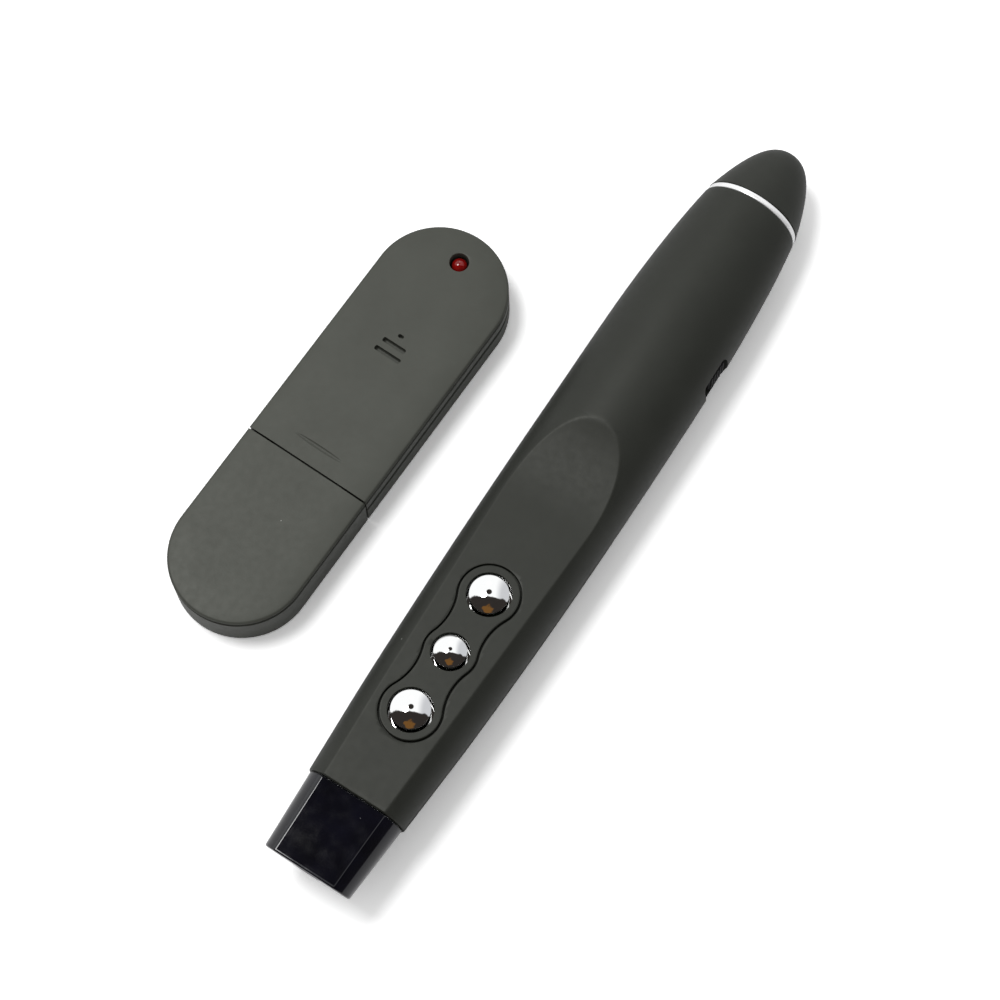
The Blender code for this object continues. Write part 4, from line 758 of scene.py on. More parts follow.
def makeUpperShell():
    settings = {
        "slotDepths": (6 * mm, 14 * mm),
        "slotCorner": 1 * mm,
        "travel": 2 * mm,
        "bayTop": 4.5 * mm,
        "pocketDepth": 0.95 * mm,
        "pocketEdge": 0.07 * mm,
        "pocketTop": 0.001 * mm,
        "holeHeights": (-0.9 * mm, -3 * mm),
        "holeFlare": 0.02 * mm,
        "bulkhead": 1.1 * mm,
        "bulkheadAway": 0.7 * mm,  # from the contact that it carries
        "frontBulkheadLow": 3.5 * mm,
        "ribAway": 0.75 * mm,  # from the switch board
        "ribLow": 5 * mm,
        "scrap": 0.01 * mm**3,  # islands smaller than this are left over from the cuts
    }
    archX = faceStart - shells["archReach"]
    stations = spaced(bodyX, archX, shells["rearRows"])
    stations += spaced(archX, splitX, shells["archRows"])[1:]
    stations += spaced(splitX, frontX, shells["frontRows"])[1:]
    surface = shellSurface(stations, lambda x: x <= splitX + 0.0001 * mm, lambda x: True)
    made = asObject("upperShell", surface, recalc=False)
    low, high = boxOf("power_knob")
    travel = settings["travel"]
    switchSlot = block(
        around((low.x + high.x) / 2 + travel / 2, high.x - low.x + travel + 2 * bodyGap),
        settings["slotDepths"],
        around((low.z + high.z) / 2, (high.z - low.z) + 2 * bodyGap),
        settings["slotCorner"],
        axis=1,
    )
    opening = block(
        (doorBack - bodyGap, doorFront + bodyGap),
        around(0, 2 * doorHalf + 2 * bodyGap),
        (-farOut, settings["bayTop"]),
        shells["doorCorner"] + bodyGap,
        axis=2,
        segments=8,
    )
    soft = settings["pocketEdge"]
    levels = [
        (bodyGap, -settings["pocketDepth"]),
        (bodyGap, -soft),
        (bodyGap + soft * cornerShare, -soft * cornerShare),
        (bodyGap + soft, settings["pocketTop"]),
        (bodyGap + soft, overrun),
    ]
    pocket = keypadStack(levels)
    holes = [holeCutter(n, *settings["holeHeights"], settings["holeFlare"]) for n in dome["names"]]
    for cutter in (pocket, *holes):
        bmesh.ops.transform(cutter, matrix=deckInPen, verts=cutter.verts)
    shape(
        made,
        thickness=penBody["wall"],
        rim=shells["rim"],
        cutters=[merge(opening, switchSlot), pocket, merge(*holes)],
    )
    rear = boxOf("negative_contact")[0].x - settings["bulkheadAway"]
    front = boxOf("positive_contact")[1].x + settings["bulkheadAway"]
    walls = [
        innerWall(rear, settings["bulkhead"], 0),
        innerWall(front, settings["bulkhead"], settings["frontBulkheadLow"]),
    ]
    cellLow, cellHigh = boxOf("battery_cell")
    carrierLow, carrierHigh = boxOf("switch_board")
    inner = [carrierLow.x - settings["ribAway"], carrierHigh.x + settings["ribAway"]]
    places = [(cellLow.x + inner[0]) / 2, *inner, (cellHigh.x + inner[1]) / 2]
    for x in places:
        walls.append(innerWall(x, shells["rib"], settings["ribLow"], [cellBore(x)]))
    whole = bmesh.new()
    whole.from_mesh(made.data)
    for island, volume, _ in list(islands(whole)):
        if volume < settings["scrap"]:
            scrap = list({vert for face in island for vert in face.verts})
            bmesh.ops.delete(whole, geom=scrap, context="VERTS")
    finishWith(made, whole, walls)
    dress(made, penPlace, "pen", ["upper_shell"], "soft_touch", softTouch)
    return places


ribPlaces = makeUpperShell()


def lowerSheet(name, stations):
    surface = shellSurface(stations, lambda x: True, lambda x: False)
    return asObject(name, surface, recalc=False)


def makeLowerShell():
    settings = {"holeSlack": 0.15 * mm, "holeDepth": 1.6 * mm}
    made = lowerSheet("lowerShell", spaced(lowerLow.x, frontX, shells["frontRows"]))
    holes = []
    for node in caseScrews:
        low, high = boxOf(node)
        radius = (high.y - low.y) / 2 + settings["holeSlack"]
        at = Matrix.Translation((centreOf(node)[0], 0, 0))
        holes.append(drill(radius, -overrun, low.z + settings["holeDepth"], 48, at))
    shape(made, thickness=penBody["wall"], rim=shells["lowerRim"], cutters=[merge(*holes)])
    dress(made, penPlace, "pen", ["lower_shell"], "soft_touch", softTouch)


makeLowerShell()


def makeBatteryDoor():
    settings = {
        # the nail notch: radius and height, in mm
        "notch": ((0, 0.6), (2.2, 0.6), (2.5, 0.2), (2.5, -1), (0, -1)),
        "saddleWidth": 9 * mm,
        "saddleHeights": (0.9 * mm, 3.2 * mm),
        "tabRoot": 1.4 * mm,
        "tabPlace": 1.9 * mm,
        "tabWidth": 1.8 * mm,
        "tabLow": 1.65 * mm,
        "tabThickness": 0.8 * mm,
        "tabEdge": 0.15 * mm,
        "stemLow": 0.7 * mm,
        "stemOverlap": 0.5 * mm,
        "stemMargin": 0.1 * mm,
    }
    stations = spaced(doorBack - overrun, doorFront + overrun, shells["doorRows"])
    made = lowerSheet("batteryDoor", stations)
    outline = block(
        (doorBack, doorFront),
        around(0, 2 * doorHalf),
        (-farOut, doorHigh.z),
        shells["doorCorner"],
        axis=2,
        segments=8,
    )
    belly = axisHeight - halfWidthAt(doorBack) * penBody["heightShare"]
    profile = [(radius * mm, height * mm) for radius, height in settings["notch"]]
    notch = lathe(profile, 48, Matrix.Translation((doorBack, 0, belly)))
    shape(made, thickness=penBody["wall"], kept=[outline], cutters=[notch])
    whole = bmesh.new()
    whole.from_mesh(made.data)
    pieces = []
    width = around(0, settings["saddleWidth"])
    for x in ribPlaces:
        saddle = block(around(x, shells["rib"]), width, settings["saddleHeights"])
        pieces.append(shape(asObject("rib", saddle), cutters=[cellBore(x)]))
    root, low = doorFront - settings["tabRoot"], settings["tabLow"]
    for side in (-1, 1):
        width = around(side * settings["tabPlace"], settings["tabWidth"])
        heights = (low, low + settings["tabThickness"])
        tab = block((root, doorHigh.x), width, heights, settings["tabEdge"])
        heights = (settings["stemLow"], low + settings["stemOverlap"])
        stem = block((root, doorFront - settings["stemMargin"]), width, heights)
        pieces.append(asObject("tab", merge(tab, stem)))
    finishWith(made, whole, pieces)
    dress(made, penPlace, "battery_door", ["battery_door"], "soft_touch", softTouch)


makeBatteryDoor()


# tail
def makeTail():
    settings = {
        "sides": 128,
        "capRows": 44,
        "rowCrowding": 0.8,
        "pointedness": 2.6,
        "tipTrim": 0.015 * mm,
        "edge": 0.12 * mm,
        "gap": 0.1 * mm,
        "spigotInner": 0.2,
        "ringEdge": 0.08 * mm,
        "ringDepth": 1.2 * mm,
    }
    sides, gap, edge = settings["sides"], settings["gap"], settings["edge"]
    wide = halfWidthAt(ringX)
    high = wide * penBody["heightShare"]
    tip = ringX - penBody["tailLength"] + settings["tipTrim"]
    end = ringX - gap
    spigot = wide - penBody["wall"] - bodyGap
    rows = []
    for k in range(settings["capRows"]):
        out = (k / (settings["capRows"] - 1)) ** settings["rowCrowding"]
        x = tip + (end - tip) * out ** settings["pointedness"]
        if x < end - edge:
            rows.append((x, out, 1))
    rows += [(end - edge * a, 1 - edge * b / wide, 1) for a, b in quarter(3)]
    rows.append((end, spigot / wide, 1))
    rows.append((tailHigh.x, spigot / wide, 0))
    rows.append((tailHigh.x, settings["spigotInner"], 0))

    def place(k, row):
        x, share, lean = rows[row]
        angle = turn * k / sides
        height = axisHeight + high * share * math.sin(angle)
        return leaning(Vector((x, wide * share * math.cos(angle), height)), lean)

    bm = sweep(sides, len(rows), place, ends="capped")
    bmesh.ops.remove_doubles(bm, verts=bm.verts, dist=0.0005 * mm)
    cap = asObject("tailCap", bm)
    dress(cap, penPlace, "pen", ["tail_cap"], "soft_touch", softTouch)

    low, far = ringX, bodyX - gap
    soft, depth = settings["ringEdge"], settings["ringDepth"]
    outline = [
        (low, -soft),
        (low + soft * cornerShare, -soft * cornerShare),
        (low + soft, 0),
        (far - soft, 0),
        (far - soft * cornerShare, -soft * cornerShare),
        (far, -soft),
        (far, -depth),
        (low, -depth),
    ]

    def ringPoint(k, row):
        x, grow = outline[row]
        angle = turn * k / sides
        height = axisHeight + (high + grow) * math.sin(angle)
        return leaning(Vector((x, (wide + grow) * math.cos(angle), height)))

    band = asObject("silverRing", sweep(sides, len(outline), ringPoint, ends="looped"))
    dress(band, penPlace, "pen", ["silver_ring"], "silver", silver)


makeTail()


# nose
barrelLow, barrelHigh = boxOf("laser_barrel")
laserZ = (barrelLow.z + barrelHigh.z) / 2
barrelRadius = (barrelHigh.z - barrelLow.z) / 2


def makeNose():
    settings = {
        "sides": 160,
        "rows": 26,
        "inset": 0.3 * mm,
        "backStep": 0.15 * mm,
        "frontWidth": 14.6 * mm,
        "frontHeight": 10.01 * mm,
        "chin": 0.6 * mm,  # how much lower the front is below its middle
        "backHeightShare": 0.867,
        "drop": 0.9 * mm,
        "backEdge": 0.14 * mm,
        "frontEdge": 0.3 * mm,
        "crease": 0.13 * mm,
        "undercut": math.tan(math.radians(5.5)),  # the front face leans back below the flat
        "frontShares": (0.45, 0.85),  # rings of the front face, from its rim to the bore
        "aperture": 2.2 * mm,
        "apertureEdge": 0.06 * mm,
        "barrelAway": 0.3 * mm,
        "barrelSlack": 0.15 * mm,
        "spigot": 3 * mm,
    }
    sides, undercut = settings["sides"], settings["undercut"]
    back = frontX + settings["backStep"]
    length = noseHigh.x - frontX
    backHalf = halfWidthAt(frontX) - settings["inset"]
    backHigh = halfWidthAt(frontX) * penBody["heightShare"] * settings["backHeightShare"]
    flatZ = penBody["faceHeight"] + penBody["faceClimb"] - settings["drop"]

    def halfHighAt(t):
        return backHigh + (settings["frontHeight"] / 2 - backHigh) * t

    def outer(x, angle, inset=0):
        t = (x - frontX) / length
        wide = backHalf + (settings["frontWidth"] / 2 - backHalf) * t
        high = halfHighAt(t) + (settings["chin"] * t if math.sin(angle) < 0 else 0)
        z = axisZ(x) + (high - inset) * math.sin(angle)
        top = flatZ + faceSlope * (x - frontX)
        z = softMin(z, top - inset, settings["crease"])
        under = undercut * (top - z) * max(t, 0) ** 3
        return Vector((x - under, (wide - inset) * math.cos(angle), z))

    edge = settings["backEdge"]
    rows = [("outer", back + edge * b, edge * a) for a, b in quarter(3)]
    start, edge = back + 2 * edge, settings["frontEdge"]
    rows += [("outer", x, 0) for x in spaced(start, noseHigh.x - 1.6 * edge, settings["rows"])]
    rows += [("outer", noseHigh.x - edge * a, edge * b) for a, b in quarter(6)]
    lastOuter = len(rows) - 1
    rows += [("front", share, 0) for share in settings["frontShares"]]
    firstBore = len(rows)
    aperture, soft = settings["aperture"], settings["apertureEdge"]
    boreFront = barrelHigh.x + settings["barrelAway"]
    boreRadius = barrelRadius + settings["barrelSlack"]
    rows += [
        ("bore", noseHigh.x, aperture + soft),
        ("bore", noseHigh.x - soft, aperture),
        ("bore", boreFront, aperture),
        ("bore", boreFront, boreRadius),
        ("bore", frontX - settings["spigot"], boreRadius),
        ("spigot", frontX - settings["spigot"], 0),
        ("spigot", back, 0),
    ]

    angles = []
    for _, x, _ in rows:
        x = min(x, noseHigh.x)
        height = halfHighAt((x - frontX) / length)
        rise = (flatZ + faceSlope * (x - frontX) - axisZ(x)) / height
        angles.append(creasedAngles(sides, math.asin(min(rise, 1))))

    def place(k, row):
        kind, x, size = rows[row]
        angle = angles[row if kind == "outer" else lastOuter][k % sides]
        if kind == "outer":
            return outer(x, angle, size)
        if kind == "front":
            rim = outer(noseHigh.x, angle, settings["frontEdge"])
            return rim.lerp(place(k, firstBore), x)
        if kind == "bore":
            z = laserZ + size * math.sin(angle)
            if x > boreFront:
                x -= undercut * (flatZ + faceSlope * length - z)
            return Vector((x, size * math.cos(angle), z))
        point = bodyPoint(min(x, frontX), angle, penBody["wall"] + bodyGap)
        point.x = x
        return point

    made = asObject("noseWindow", sweep(sides, len(rows), place, ends="looped"))
    dress(made, penPlace, "pen", ["nose_window"], "smoked_gloss", gloss, smoothAngle=35)


makeNose()


# laser module
def makeLaser():
    settings = {"bore": 2.4 * mm, "edge": 0.15 * mm, "lensRim": 0.3 * mm, "lensSteps": 12}
    facing = penPlace @ Matrix.Translation((0, 0, laserZ)) @ alongX
    bore, soft = settings["bore"], settings["edge"]
    profile = [
        (bore, barrelLow.x),
        (barrelRadius - soft, barrelLow.x),
        (barrelRadius, barrelLow.x + soft),
        (barrelRadius, barrelHigh.x - soft),
        (barrelRadius - soft, barrelHigh.x),
        (bore + soft, barrelHigh.x),
        (bore, barrelHigh.x - soft),
        (bore, barrelLow.x),
    ]
    barrel = asObject("laserBarrel", lathe(profile, 64, facing))
    dress(barrel, unmoved, "pen", ["laser_barrel"], "brass", brass)
    low, high = boxOf("laser_lens")
    middleX = (low.x + high.x) / 2
    rim, radius = settings["lensRim"], (high.y - low.y) / 2
    bulge = (high.x - low.x) / 2 - rim
    outs = [k / settings["lensSteps"] for k in range(settings["lensSteps"] + 1)]
    outer = [(radius * out, middleX + rim + bulge * (1 - out**2)) for out in outs]
    inner = [(r, 2 * middleX - x) for r, x in reversed(outer)]
    glass = asObject("laserLens", lathe(outer + inner, 48, facing))
    dress(glass, unmoved, "pen", ["laser_lens"], "lens_glass", lens)


makeLaser()


# keypad
def makeKeypad():
    edge, top = keypad["edge"], keypad["proud"]
    levels = [(0, top - keypad["thickness"])]
    levels += [(-edge * b, top - edge * a) for a, b in quarter(3)]
    levels.append((-edge - keypad["flatFrom"], top))
    plate = asObject("keypadPlate", keypadStack(levels))
    bottom, flare = keypad["holeBottom"], keypad["holeFlare"]
    holes = [holeCutter(node, top, bottom, flare) for node in dome["names"]]
    shape(plate, cutters=[merge(*holes)])
    dress(plate, deckPlace, "pen", ["keypad_plate"], "soft_touch", softTouch, flats=True)


makeKeypad()


def makeDomes():
    edge, proud, rows = dome["edge"], dome["proud"], dome["rows"]
    flangeTop, flangeBottom = dome["flangeHeights"]
    for node, name in dome["names"].items():
        radius = buttonRadius(node) - dome["slack"]
        crown = proud - dome["skirt"]
        ball = (radius**2 + crown**2) / (2 * crown)
        # a ball's cap that rolls over an edge into an upright skirt
        tilt = math.asin((radius - edge) / (ball - edge))
        profile = []
        for angle in spaced(0, tilt, rows + 1):
            profile.append((ball * math.sin(angle), proud - ball * (1 - math.cos(angle))))
        foot = proud - ball * (1 - math.cos(tilt)) - edge * math.cos(tilt)
        for angle in spaced(tilt, turn / 4, 7)[1:]:
            profile.append((radius - edge + edge * math.sin(angle), foot + edge * math.cos(angle)))
        profile += [
            (radius, flangeTop),
            (radius + dome["flange"], flangeTop),
            (radius + dome["flange"], flangeBottom),
            (dome["stem"], flangeBottom),
            (dome["stem"], dome["foot"]),
            (0, dome["foot"]),
        ]
        at = Matrix.Translation((buttonPlace(node).x, 0, 0))
        dress(asObject(name, lathe(profile, 96, at)), deckPlace, node, [node], "chrome", chrome)


makeDomes()


# power knob
def makeKnob():
    settings = {
        "ribs": 5,
        "ribShare": 0.5,
        "ribHeight": 0.3 * mm,
        "ribMargin": 0.3 * mm,
        "ribEdge": 0.12 * mm,
        "edge": 0.2 * mm,
    }
    low, high = boxOf("power_knob")
    outside, margin = high.y - penY, settings["ribMargin"]
    face = outside - settings["ribHeight"]
    parts = [
        block((low.x, high.x), (low.y - penY, face), (low.z, high.z), settings["edge"], segments=3)
    ]
    pitch = (high.x - low.x) / settings["ribs"]
    for k in range(settings["ribs"]):
        length = around(low.x + (k + 0.5) * pitch, pitch * settings["ribShare"])
        depths, heights = (face - margin, outside), (low.z + margin, high.z - margin)
        parts.append(block(length, depths, heights, settings["ribEdge"], segments=2))
    knob = asObject("powerKnob", merge(*parts))
    dress(knob, penPlace, "power_knob", ["power_knob"], "black_plastic", knobBlack)


makeKnob()


# screws
def makeScrews():
    settings = {
        "headHeight": 1.2 * mm,
        "headEdge": 0.25 * mm,
        "shank": 0.7 * mm,
        "crossWidth": 0.45 * mm,
        "crossLength": 1.9 * mm,
        "crossDepth": 0.7 * mm,
    }
    edge, shank = settings["headEdge"], settings["shank"]
    for node, name in caseScrews.items():
        low, high = boxOf(node)
        x = centreOf(node)[0]
        radius = (high.y - low.y) / 2
        headTop = low.z + settings["headHeight"]
        profile = [
            (0, low.z),
            (radius - edge, low.z),
            (radius, low.z + edge),
            (radius, headTop),
            (shank, headTop),
            (shank, high.z),
            (0, high.z),
        ]
        screw = asObject(name, lathe(profile, 40, Matrix.Translation((x, 0, 0))))
        arm = (settings["crossWidth"], settings["crossLength"])
        heights = (low.z - overrun, low.z + settings["crossDepth"])
        slots = [block(around(x, a), around(0, b), heights) for a, b in (arm, arm[::-1])]
        shape(screw, cutters=slots)
        dress(screw, penPlace, "pen", [node], "steel", steel)


makeScrews()


# battery
def makeCell():
    settings = {
        "nubLength": 0.9 * mm,
        "nubRadius": 1.9 * mm,
        "nubEdge": 0.2 * mm,
        "shoulder": ((0.6, 0), (0.5, 0.2), (0.2, 0.1), (0, 0.4)),  # inwards and back, in mm
        "edge": 0.4 * mm,
    }
    low, high = boxOf("battery_cell")
    _, y, z = centreOf("battery_cell")
    radius = (high.z - low.z) / 2
    nub, nubRadius = high.x - settings["nubLength"], settings["nubRadius"]
    profile = [
        (0, high.x),
        (nubRadius - settings["nubEdge"], high.x),
        (nubRadius, high.x - settings["nubEdge"]),
        (nubRadius, nub),
        *((radius - inwards * mm, nub - away * mm) for inwards, away in settings["shoulder"]),
        (radius, low.x + settings["edge"]),
        (radius - settings["edge"], low.x),
        (0, low.x),
    ]
    cell = asObject("batteryCell", lathe(profile, 64, Matrix.Translation((0, y, z)) @ alongX))
    dress(cell, unmoved, "pen", ["battery_cell"], "battery_wrap", wrap)


makeCell()


# receiver
receiverNodes = ("receiver_cap", "receiver_top_shell", "receiver_base_shell")
receiverX, receiverY, _ = centreOf(*receiverNodes)
receiverTurn = Matrix.Rotation(math.radians(178.2), 4, "Z")
receiverPlace = Matrix.Translation((receiverX, receiverY, 0)) @ receiverTurn
stick = {
    "length": 74.3 * mm,
    "width": 22 * mm,
    "height": boxOf(*receiverNodes)[1].z,
    "wall": 1.2 * mm,
    "ceiling": 1.3 * mm,
    "seam": 4.4 * mm,
    "gap": 0.3 * mm,
    "capLength": 28.2 * mm,
    "edge": 0.4 * mm,
    "crown": 0.2 * mm,  # the top's rim is this much lower than its middle
    "crownReach": 4.5 * mm,
    "crownSteps": 8,
    "flatFrom": 0.4 * mm,
    "line": 0.24 * mm,  # a fine groove runs round the rim of the top
    "seamDepth": 0.5 * mm,
    "seamShares": (0.6, 0.7, 0.8),  # heights of the recess's corners, as shares of its depth
    "sides": 192,
    "plugWidth": 12 * mm,
    "plugHeight": 4.5 * mm,
    "plugRoot": 16 * mm,
    "roomEnd": 26 * mm,
    "roomWidth": 19 * mm,
    "roomCorner": 0.8 * mm,
    "lightPlace": 31.85 * mm,
}
capJoint = stick["capLength"] - stick["length"] / 2
bodyStart = capJoint + stick["gap"]


def stickStack(levels):
    # the stick's round-ended outline at several (inset, height) levels
    sides = stick["sides"]
    reach = stick["length"] / 2 - stick["width"] / 2

    def place(k, row):
        inset, z = levels[row]
        angle = turn * (k + 0.5) / sides
        radius = stick["width"] / 2 - inset
        x = radius * math.cos(angle)
        return Vector((x + math.copysign(reach, x), radius * math.sin(angle), z))

    return sweep(sides, len(levels), place, ends="capped")


def endCut(keepFrom, keepTo):
    # what stays of the stick along its length
    return block((keepFrom, keepTo), around(0, 12 * farOut), (-farOut, 4 * farOut))


def crowned(top):
    # levels of the rim's groove, its rounded edge and the crowned top
    edge, line, crown, reach = stick["edge"], stick["line"], stick["crown"], stick["crownReach"]
    rim = top - crown
    levels = [(0, rim - edge - 4 * line)]
    levels += [(line, rim - edge - depth * line) for depth in (3.7, 0.5)]
    levels += [(edge * b, rim - edge * a) for a, b in quarter(4)]
    for share in spaced(0, 1, stick["crownSteps"] + 1)[1:]:
        levels.append((edge + (reach - edge) * share, top - crown * (1 - share) ** 2))
    return levels + [(reach + stick["flatFrom"], top)]


def seamStack(z, way):
    # levels of the recess that makes the seam between the shells a dark line
    deep = stick["seamDepth"]
    insets = (deep, 0.1 * deep, 0)
    corners = zip(insets, stick["seamShares"])
    levels = [(deep, z)] + [(inset, z + way * share * deep) for inset, share in corners]
    return levels[::way]


def roomAndPlug():
    top, wall = stick["height"], stick["wall"]
    room = block(
        (bodyStart + wall, stick["roomEnd"]),
        around(0, stick["roomWidth"]),
        (wall, top - stick["ceiling"]),
        stick["roomCorner"],
    )
    plug = block(
        around(bodyStart, stick["plugRoot"]),
        around(0, stick["plugWidth"] + stick["gap"]),
        around(top / 2, stick["plugHeight"] + stick["gap"]),
    )
    return [room, plug]


def makeReceiver():
    settings = {
        "lightHole": ((1.63, 0), (1.57, -0.03), (1.54, -0.1)),  # radius and height, in mm
        "slots": ((4.75, 0.8), (4.2, 0.8), (1.0, 0.6)),  # length and width, in mm
        "slotStart": 12.9 * mm,
        "slotPitch": 1.8 * mm,
        "slotShift": 0.3 * mm,
        "slotDepth": 0.95 * mm,
        "slotEdge": 0.27 * mm,
        "dentPlace": -5.5 * mm,
        "dentLift": 0.33 * mm,
        "dentSize": (0.5 * mm, 6.2 * mm, 0.5 * mm),
        "lipReach": (-0.24 * mm, 0.6 * mm),
        "lipOverlap": 1 * mm,
        "lipLift": 0.02 * mm,
        "lipHeight": 0.5 * mm,
        "capDepth": 22.2 * mm,
        "capCorner": 0.2 * mm,
    }
    gap, top, seam, far = stick["gap"], stick["height"], stick["seam"], stick["length"]
    wall, plugWidth, plugHeight = stick["wall"], stick["plugWidth"], stick["plugHeight"]
    flare = [(radius * mm, top + height * mm) for radius, height in settings["lightHole"]]
    above = [(0, top + overrun), (flare[0][0], top + overrun)]
    profile = above + flare + [(flare[-1][0], seam), (0, seam)]
    hole = lathe(profile, 64, Matrix.Translation((stick["lightPlace"], 0, 0)))
    grooves = []
    for k, (length, wide) in enumerate(settings["slots"]):
        x = settings["slotStart"] + k * settings["slotPitch"]
        y = around(settings["slotShift"], length * mm)
        heights = (top - settings["slotDepth"], top + overrun)
        grooves.append(block(around(x, wide * mm), y, heights, settings["slotEdge"], segments=3))
    dent = bmesh.new()
    dentAt = Matrix.Translation((settings["dentPlace"], 0, top + settings["dentLift"]))
    dentAt = dentAt @ Matrix.Diagonal((*settings["dentSize"], 1))
    bmesh.ops.create_uvsphere(dent, u_segments=64, v_segments=48, radius=1, matrix=dentAt)
    lipBottom = (top + plugHeight + gap) / 2 + settings["lipLift"]
    lip = block(
        [bodyStart + reach for reach in settings["lipReach"]],
        around(0, plugWidth + settings["lipOverlap"]),
        (lipBottom, lipBottom + settings["lipHeight"]),
    )
    under = [(wall, 0)] + [(stick["edge"] * b, stick["edge"] * a) for a, b in quarter(4)][::-1]
    pocket = block(
        (capJoint - settings["capDepth"], capJoint + overrun),
        around(0, plugWidth + 2 * gap),
        around(top / 2, plugHeight + 2 * gap),
        settings["capCorner"],
        axis=0,
    )
    topShell = asObject("receiverTop", stickStack([*seamStack(seam, 1), *crowned(top)]))
    cutters = [*roomAndPlug(), merge(hole, *grooves), dent]
    shape(topShell, kept=[endCut(bodyStart, far)], joined=[lip], cutters=cutters)
    finish = {"slot": "soft_touch", "material": satinShell, "flats": True}
    dress(topShell, receiverPlace, "receiver", ["receiver_top_shell"], **finish)
    baseShell = asObject("receiverBase", stickStack([*under, *seamStack(seam - gap, -1)]))
    shape(baseShell, kept=[endCut(bodyStart, far)], cutters=roomAndPlug())
    dress(baseShell, receiverPlace, "receiver", ["receiver_base_shell"], **finish)
    cap = asObject("receiverCap", stickStack([*under, *crowned(top)]))
    shape(cap, kept=[endCut(-far, capJoint)], cutters=[pocket])
    dress(cap, receiverPlace, "receiver_cap", ["receiver_cap"], **finish)


makeReceiver()


def makePlug():
    settings = {
        "sheet": 0.3 * mm,
        "corner": 0.5 * mm,
        "proud": 12.2 * mm,
        "inside": 6 * mm,
        "windowPlace": (5.2 * mm, 2.75 * mm),
        "windowSize": 2.4 * mm,
        "windowCorner": 0.2 * mm,
    }
    start, end = bodyStart - settings["proud"], bodyStart + settings["inside"]
    middleZ = stick["height"] / 2

    def sleeve(x, inset):
        width = around(0, stick["plugWidth"] - 2 * inset)
        height = around(middleZ, stick["plugHeight"] - 2 * inset)
        return block(x, width, height, settings["corner"] - inset, axis=0)

    shell = asObject("plugShell", sleeve((start, end), 0))
    throat = sleeve((start - overrun, end + overrun), settings["sheet"])
    along, aside = settings["windowPlace"]
    size = settings["windowSize"]
    windows = [
        block(
            around(start + along, size),
            around(side * aside, size),
            (middleZ, middleZ + farOut),
            settings["windowCorner"],
            axis=2,
        )
        for side in (-1, 1)
    ]
    shape(shell, cutters=[throat, merge(*windows)])
    dress(shell, receiverPlace, "receiver", ["plug_shell"], "plug_steel", plugSteel)


makePlug()


def makeStatusLight():
    settings = {"rows": 14, "flatness": 0.8}
    low, high = boxOf("status_light")
    radius = (high.y - low.y) / 2
    profile = []
    for k in range(settings["rows"] + 1):
        angle = turn / 4 * k / settings["rows"]
        drop = radius * settings["flatness"] * (1 - math.cos(angle))
        profile.append((radius * math.sin(angle), high.z - drop))
    profile += [(radius, low.z), (0, low.z)]
    at = Matrix.Translation((stick["lightPlace"], 0, 0))
    light = asObject("statusLight", lathe(profile, 48, at))
    dress(light, receiverPlace, "receiver", ["status_light"], "red_light", red)


makeStatusLight()


# nodes kept from the CAD model
kept = (
    (board, ("main_board", "switch_board", "laser_driver_board", "receiver_board")),
    (black, ("radio_chip", "receiver_chip", "power_switch_body", "plug_tongue")),
    (black, ("page_up_switch", "laser_switch", "page_down_switch")),
    (steel, ("crystal", "receiver_crystal", "rear_board_screw", "front_board_screw")),
    (steel, ("laser_diode", "battery_spring", "positive_contact", "negative_contact")),
    (gold, ("plug_contact_1", "plug_contact_2", "plug_contact_3", "plug_contact_4")),
)
for material, nodes in kept:
    for node in nodes:
        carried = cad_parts[node]
        carried.data.materials.clear()
        carried.data.materials.append(material)
print("CAD nodes finished")


# floor, light and camera
stage = {
    "floorShade": (0.82, 0.82, 0.83),
    "floorSeen": (1.6, 1.6, 1.6),  # the camera sees the floor whiter than it is
    "floorSize": 4,
    "floorDrop": 0.02 * mm,
    "roomLight": 0.56,  # what the room adds from all sides to matt surfaces
    # place to the right, up and above as the camera sees it, then size and power
    "lamps": {
        "keyLight": ((-0.29, 0.17, 0.82), 0.34, 3.6),
        "rimLight": ((0, 0.65, 0.3), 0.16, 0.12),
    },
}
# what glossy surfaces mirror: a bright room with a dark side behind the photographer
room = {
    "bright": (1.06, 1.07, 1.08, 1),
    "grey": (0.62, 0.63, 0.66, 1),
    "dark": (0.03, 0.026, 0.024, 1),
    "warm": (0.17, 0.08, 0.022, 1),
    "ripples": 3.5,
    "greyFade": (0.3, 0.7),
    "darkFade": (0.06, 0.16, 0.3),
    "warmPlace": Vector((0.6, 0.3, 0.74)),
    "warmFade": (1.0, 1.03, 0.12),
    "overhead": Vector((-0.29, -0.18, 0.94)),  # a dark place in the ceiling, for the nose
    "overheadFade": (0.984, 0.990),
    "darkAside": -0.12,
}
view = {
    "place": Vector((113.3 * mm, penY + 71.07 * mm, 398.5 * mm)),
    "target": Vector((2.62 * mm, penY - 9.39 * mm, 0)),
    "upward": Vector((-0.7976, -0.5086, 0.3242)),  # what points up in the picture
    "focal": 2.7215,  # focal length as a share of the picture's width
    "sensor": 36,
    "nearest": 0.01,
}


def makeFloor():
    bm = bmesh.new()
    bmesh.ops.create_grid(bm, x_segments=1, y_segments=1, size=stage["floorSize"])
    floor = asObject("floor", bm)
    if floor.data.polygons[0].normal.z < 0:
        floor.data.flip_normals()
    made, tree, shader = newMaterial("whiteSweep", stage["floorShade"], 0.9)
    path = addNode(tree, "ShaderNodeLightPath", {})
    seen = path.outputs["Is Camera Ray"]
    shade = addMix(tree, seen, (*stage["floorShade"], 1), (*stage["floorSeen"], 1))
    setInputs(tree, shader, {"Specular IOR Level": 0.1, "Base Color": shade})
    floor.data.materials.append(made)
    floor.location.z = -stage["floorDrop"]


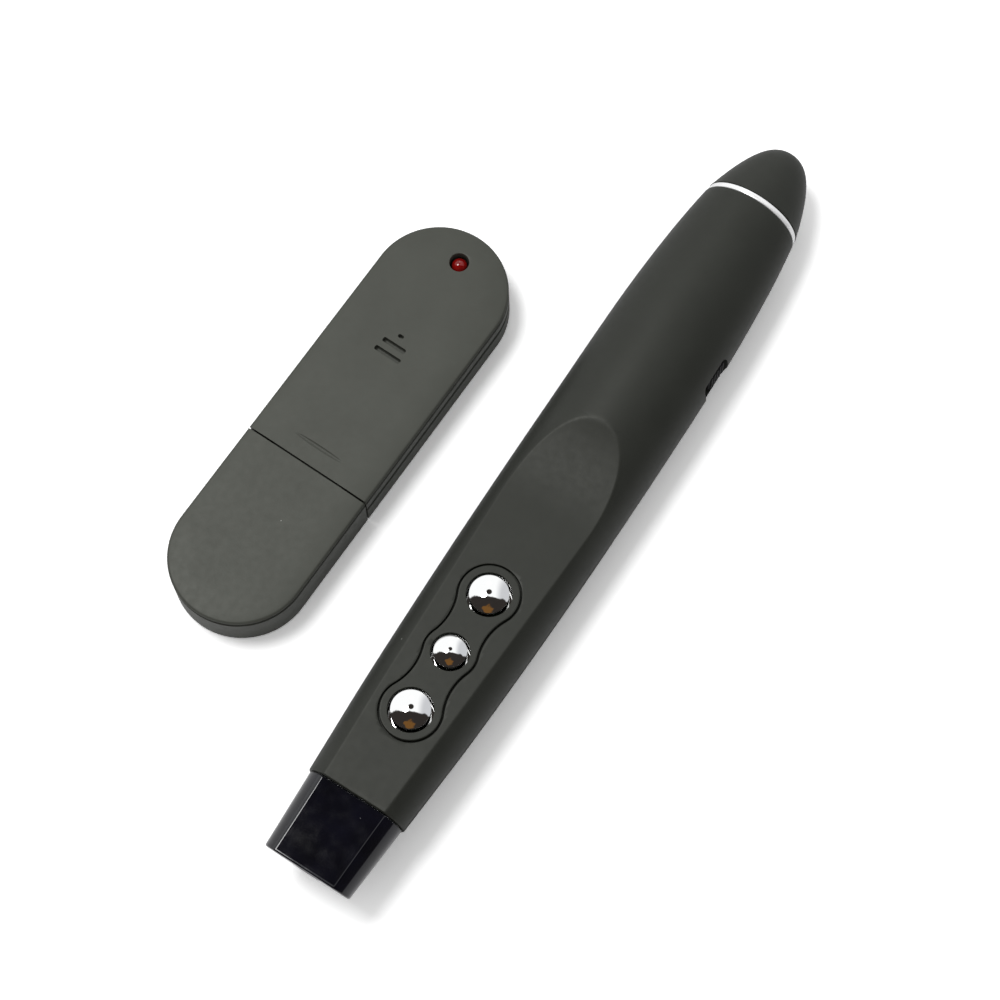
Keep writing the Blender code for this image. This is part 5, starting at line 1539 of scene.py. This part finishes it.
def makeWorld(towards, aside):
    world = bpy.data.worlds.new("studioRoom")
    bpy.context.scene.world = world
    world.use_nodes = True
    tree = world.node_tree
    tree.nodes.clear()
    direction = addNode(tree, "ShaderNodeTexCoord", {}).outputs["Generated"]
    inputs = {"Scale": room["ripples"], "Vector": direction}
    noise = addNode(tree, "ShaderNodeTexNoise", inputs).outputs["Fac"]

    def within(centre, low, high, ripple=0):
        # 0 where the direction's share is low, 1 where it is high
        inputs = {0: direction, 1: centre}
        along = addNode(tree, "ShaderNodeVectorMath", inputs, operation="DOT_PRODUCT")
        inputs = {0: noise, 1: ripple, 2: along.outputs["Value"]}
        waved = addNode(tree, "ShaderNodeMath", inputs, operation="MULTIPLY_ADD")
        inputs = {"Value": waved.outputs["Value"], "From Min": low, "From Max": high}
        fade = addNode(tree, "ShaderNodeMapRange", inputs, interpolation_type="SMOOTHSTEP")
        return fade.outputs["Result"]

    warm = within(room["warmPlace"].normalized(), *room["warmFade"])
    dark = addMix(tree, warm, room["dark"], room["warm"])
    bright = addMix(tree, within(aside, *room["greyFade"]), room["bright"], room["grey"])
    sides = addMix(tree, within(towards, *room["darkFade"]), bright, dark)
    overhead = within(room["overhead"].normalized(), *room["overheadFade"])
    mirrored = addMix(tree, overhead, sides, room["dark"])
    path = addNode(tree, "ShaderNodeLightPath", {})
    white = (1, 1, 1, 1)
    inputs = {"Color": white, "Strength": stage["roomLight"]}
    last = addNode(tree, "ShaderNodeBackground", inputs).outputs["Background"]
    for ray, colour in (("Is Glossy Ray", mirrored), ("Is Camera Ray", white)):
        background = addNode(tree, "ShaderNodeBackground", {"Color": colour})
        inputs = {"Fac": path.outputs[ray], 1: last, 2: background.outputs["Background"]}
        last = addNode(tree, "ShaderNodeMixShader", inputs).outputs["Shader"]
    addNode(tree, "ShaderNodeOutputWorld", {"Surface": last})


def makeLight(name, place, size, power):
    lamp = bpy.data.lights.new(name, "AREA")
    lamp.shape = "DISK"
    lamp.size = size
    lamp.energy = power
    made = bpy.data.objects.new(name, lamp)
    bpy.context.scene.collection.objects.link(made)
    made.location = place
    made.rotation_euler = (view["target"] - place).to_track_quat("-Z", "Y").to_euler()


def makeCamera():
    camera = bpy.data.objects.new("camera", bpy.data.cameras.new("camera"))
    bpy.context.scene.collection.objects.link(camera)
    camera.data.sensor_width = view["sensor"]
    camera.data.lens = view["sensor"] * view["focal"]
    camera.data.clip_start = view["nearest"]
    forward = (view["target"] - view["place"]).normalized()
    right = forward.cross(view["upward"]).normalized()
    up = right.cross(forward).normalized()
    facing = Matrix((right, up, -forward)).transposed().to_4x4()
    camera.matrix_world = Matrix.Translation(view["place"]) @ facing
    bpy.context.scene.camera = camera
    return right, up


makeFloor()
imageRight, imageUp = makeCamera()
level = Vector((1, 1, 0))
behind = (imageRight * room["darkAside"] - imageUp * level).normalized()
makeWorld(behind, (imageRight * level).normalized())
for name, ((right, up, above), size, power) in stage["lamps"].items():
    place = view["target"] + imageRight * right + imageUp * up + Vector((0, 0, above))
    makeLight(name, place, size, power)
bpy.context.scene.view_settings.view_transform = "Standard"
print("stage ready")
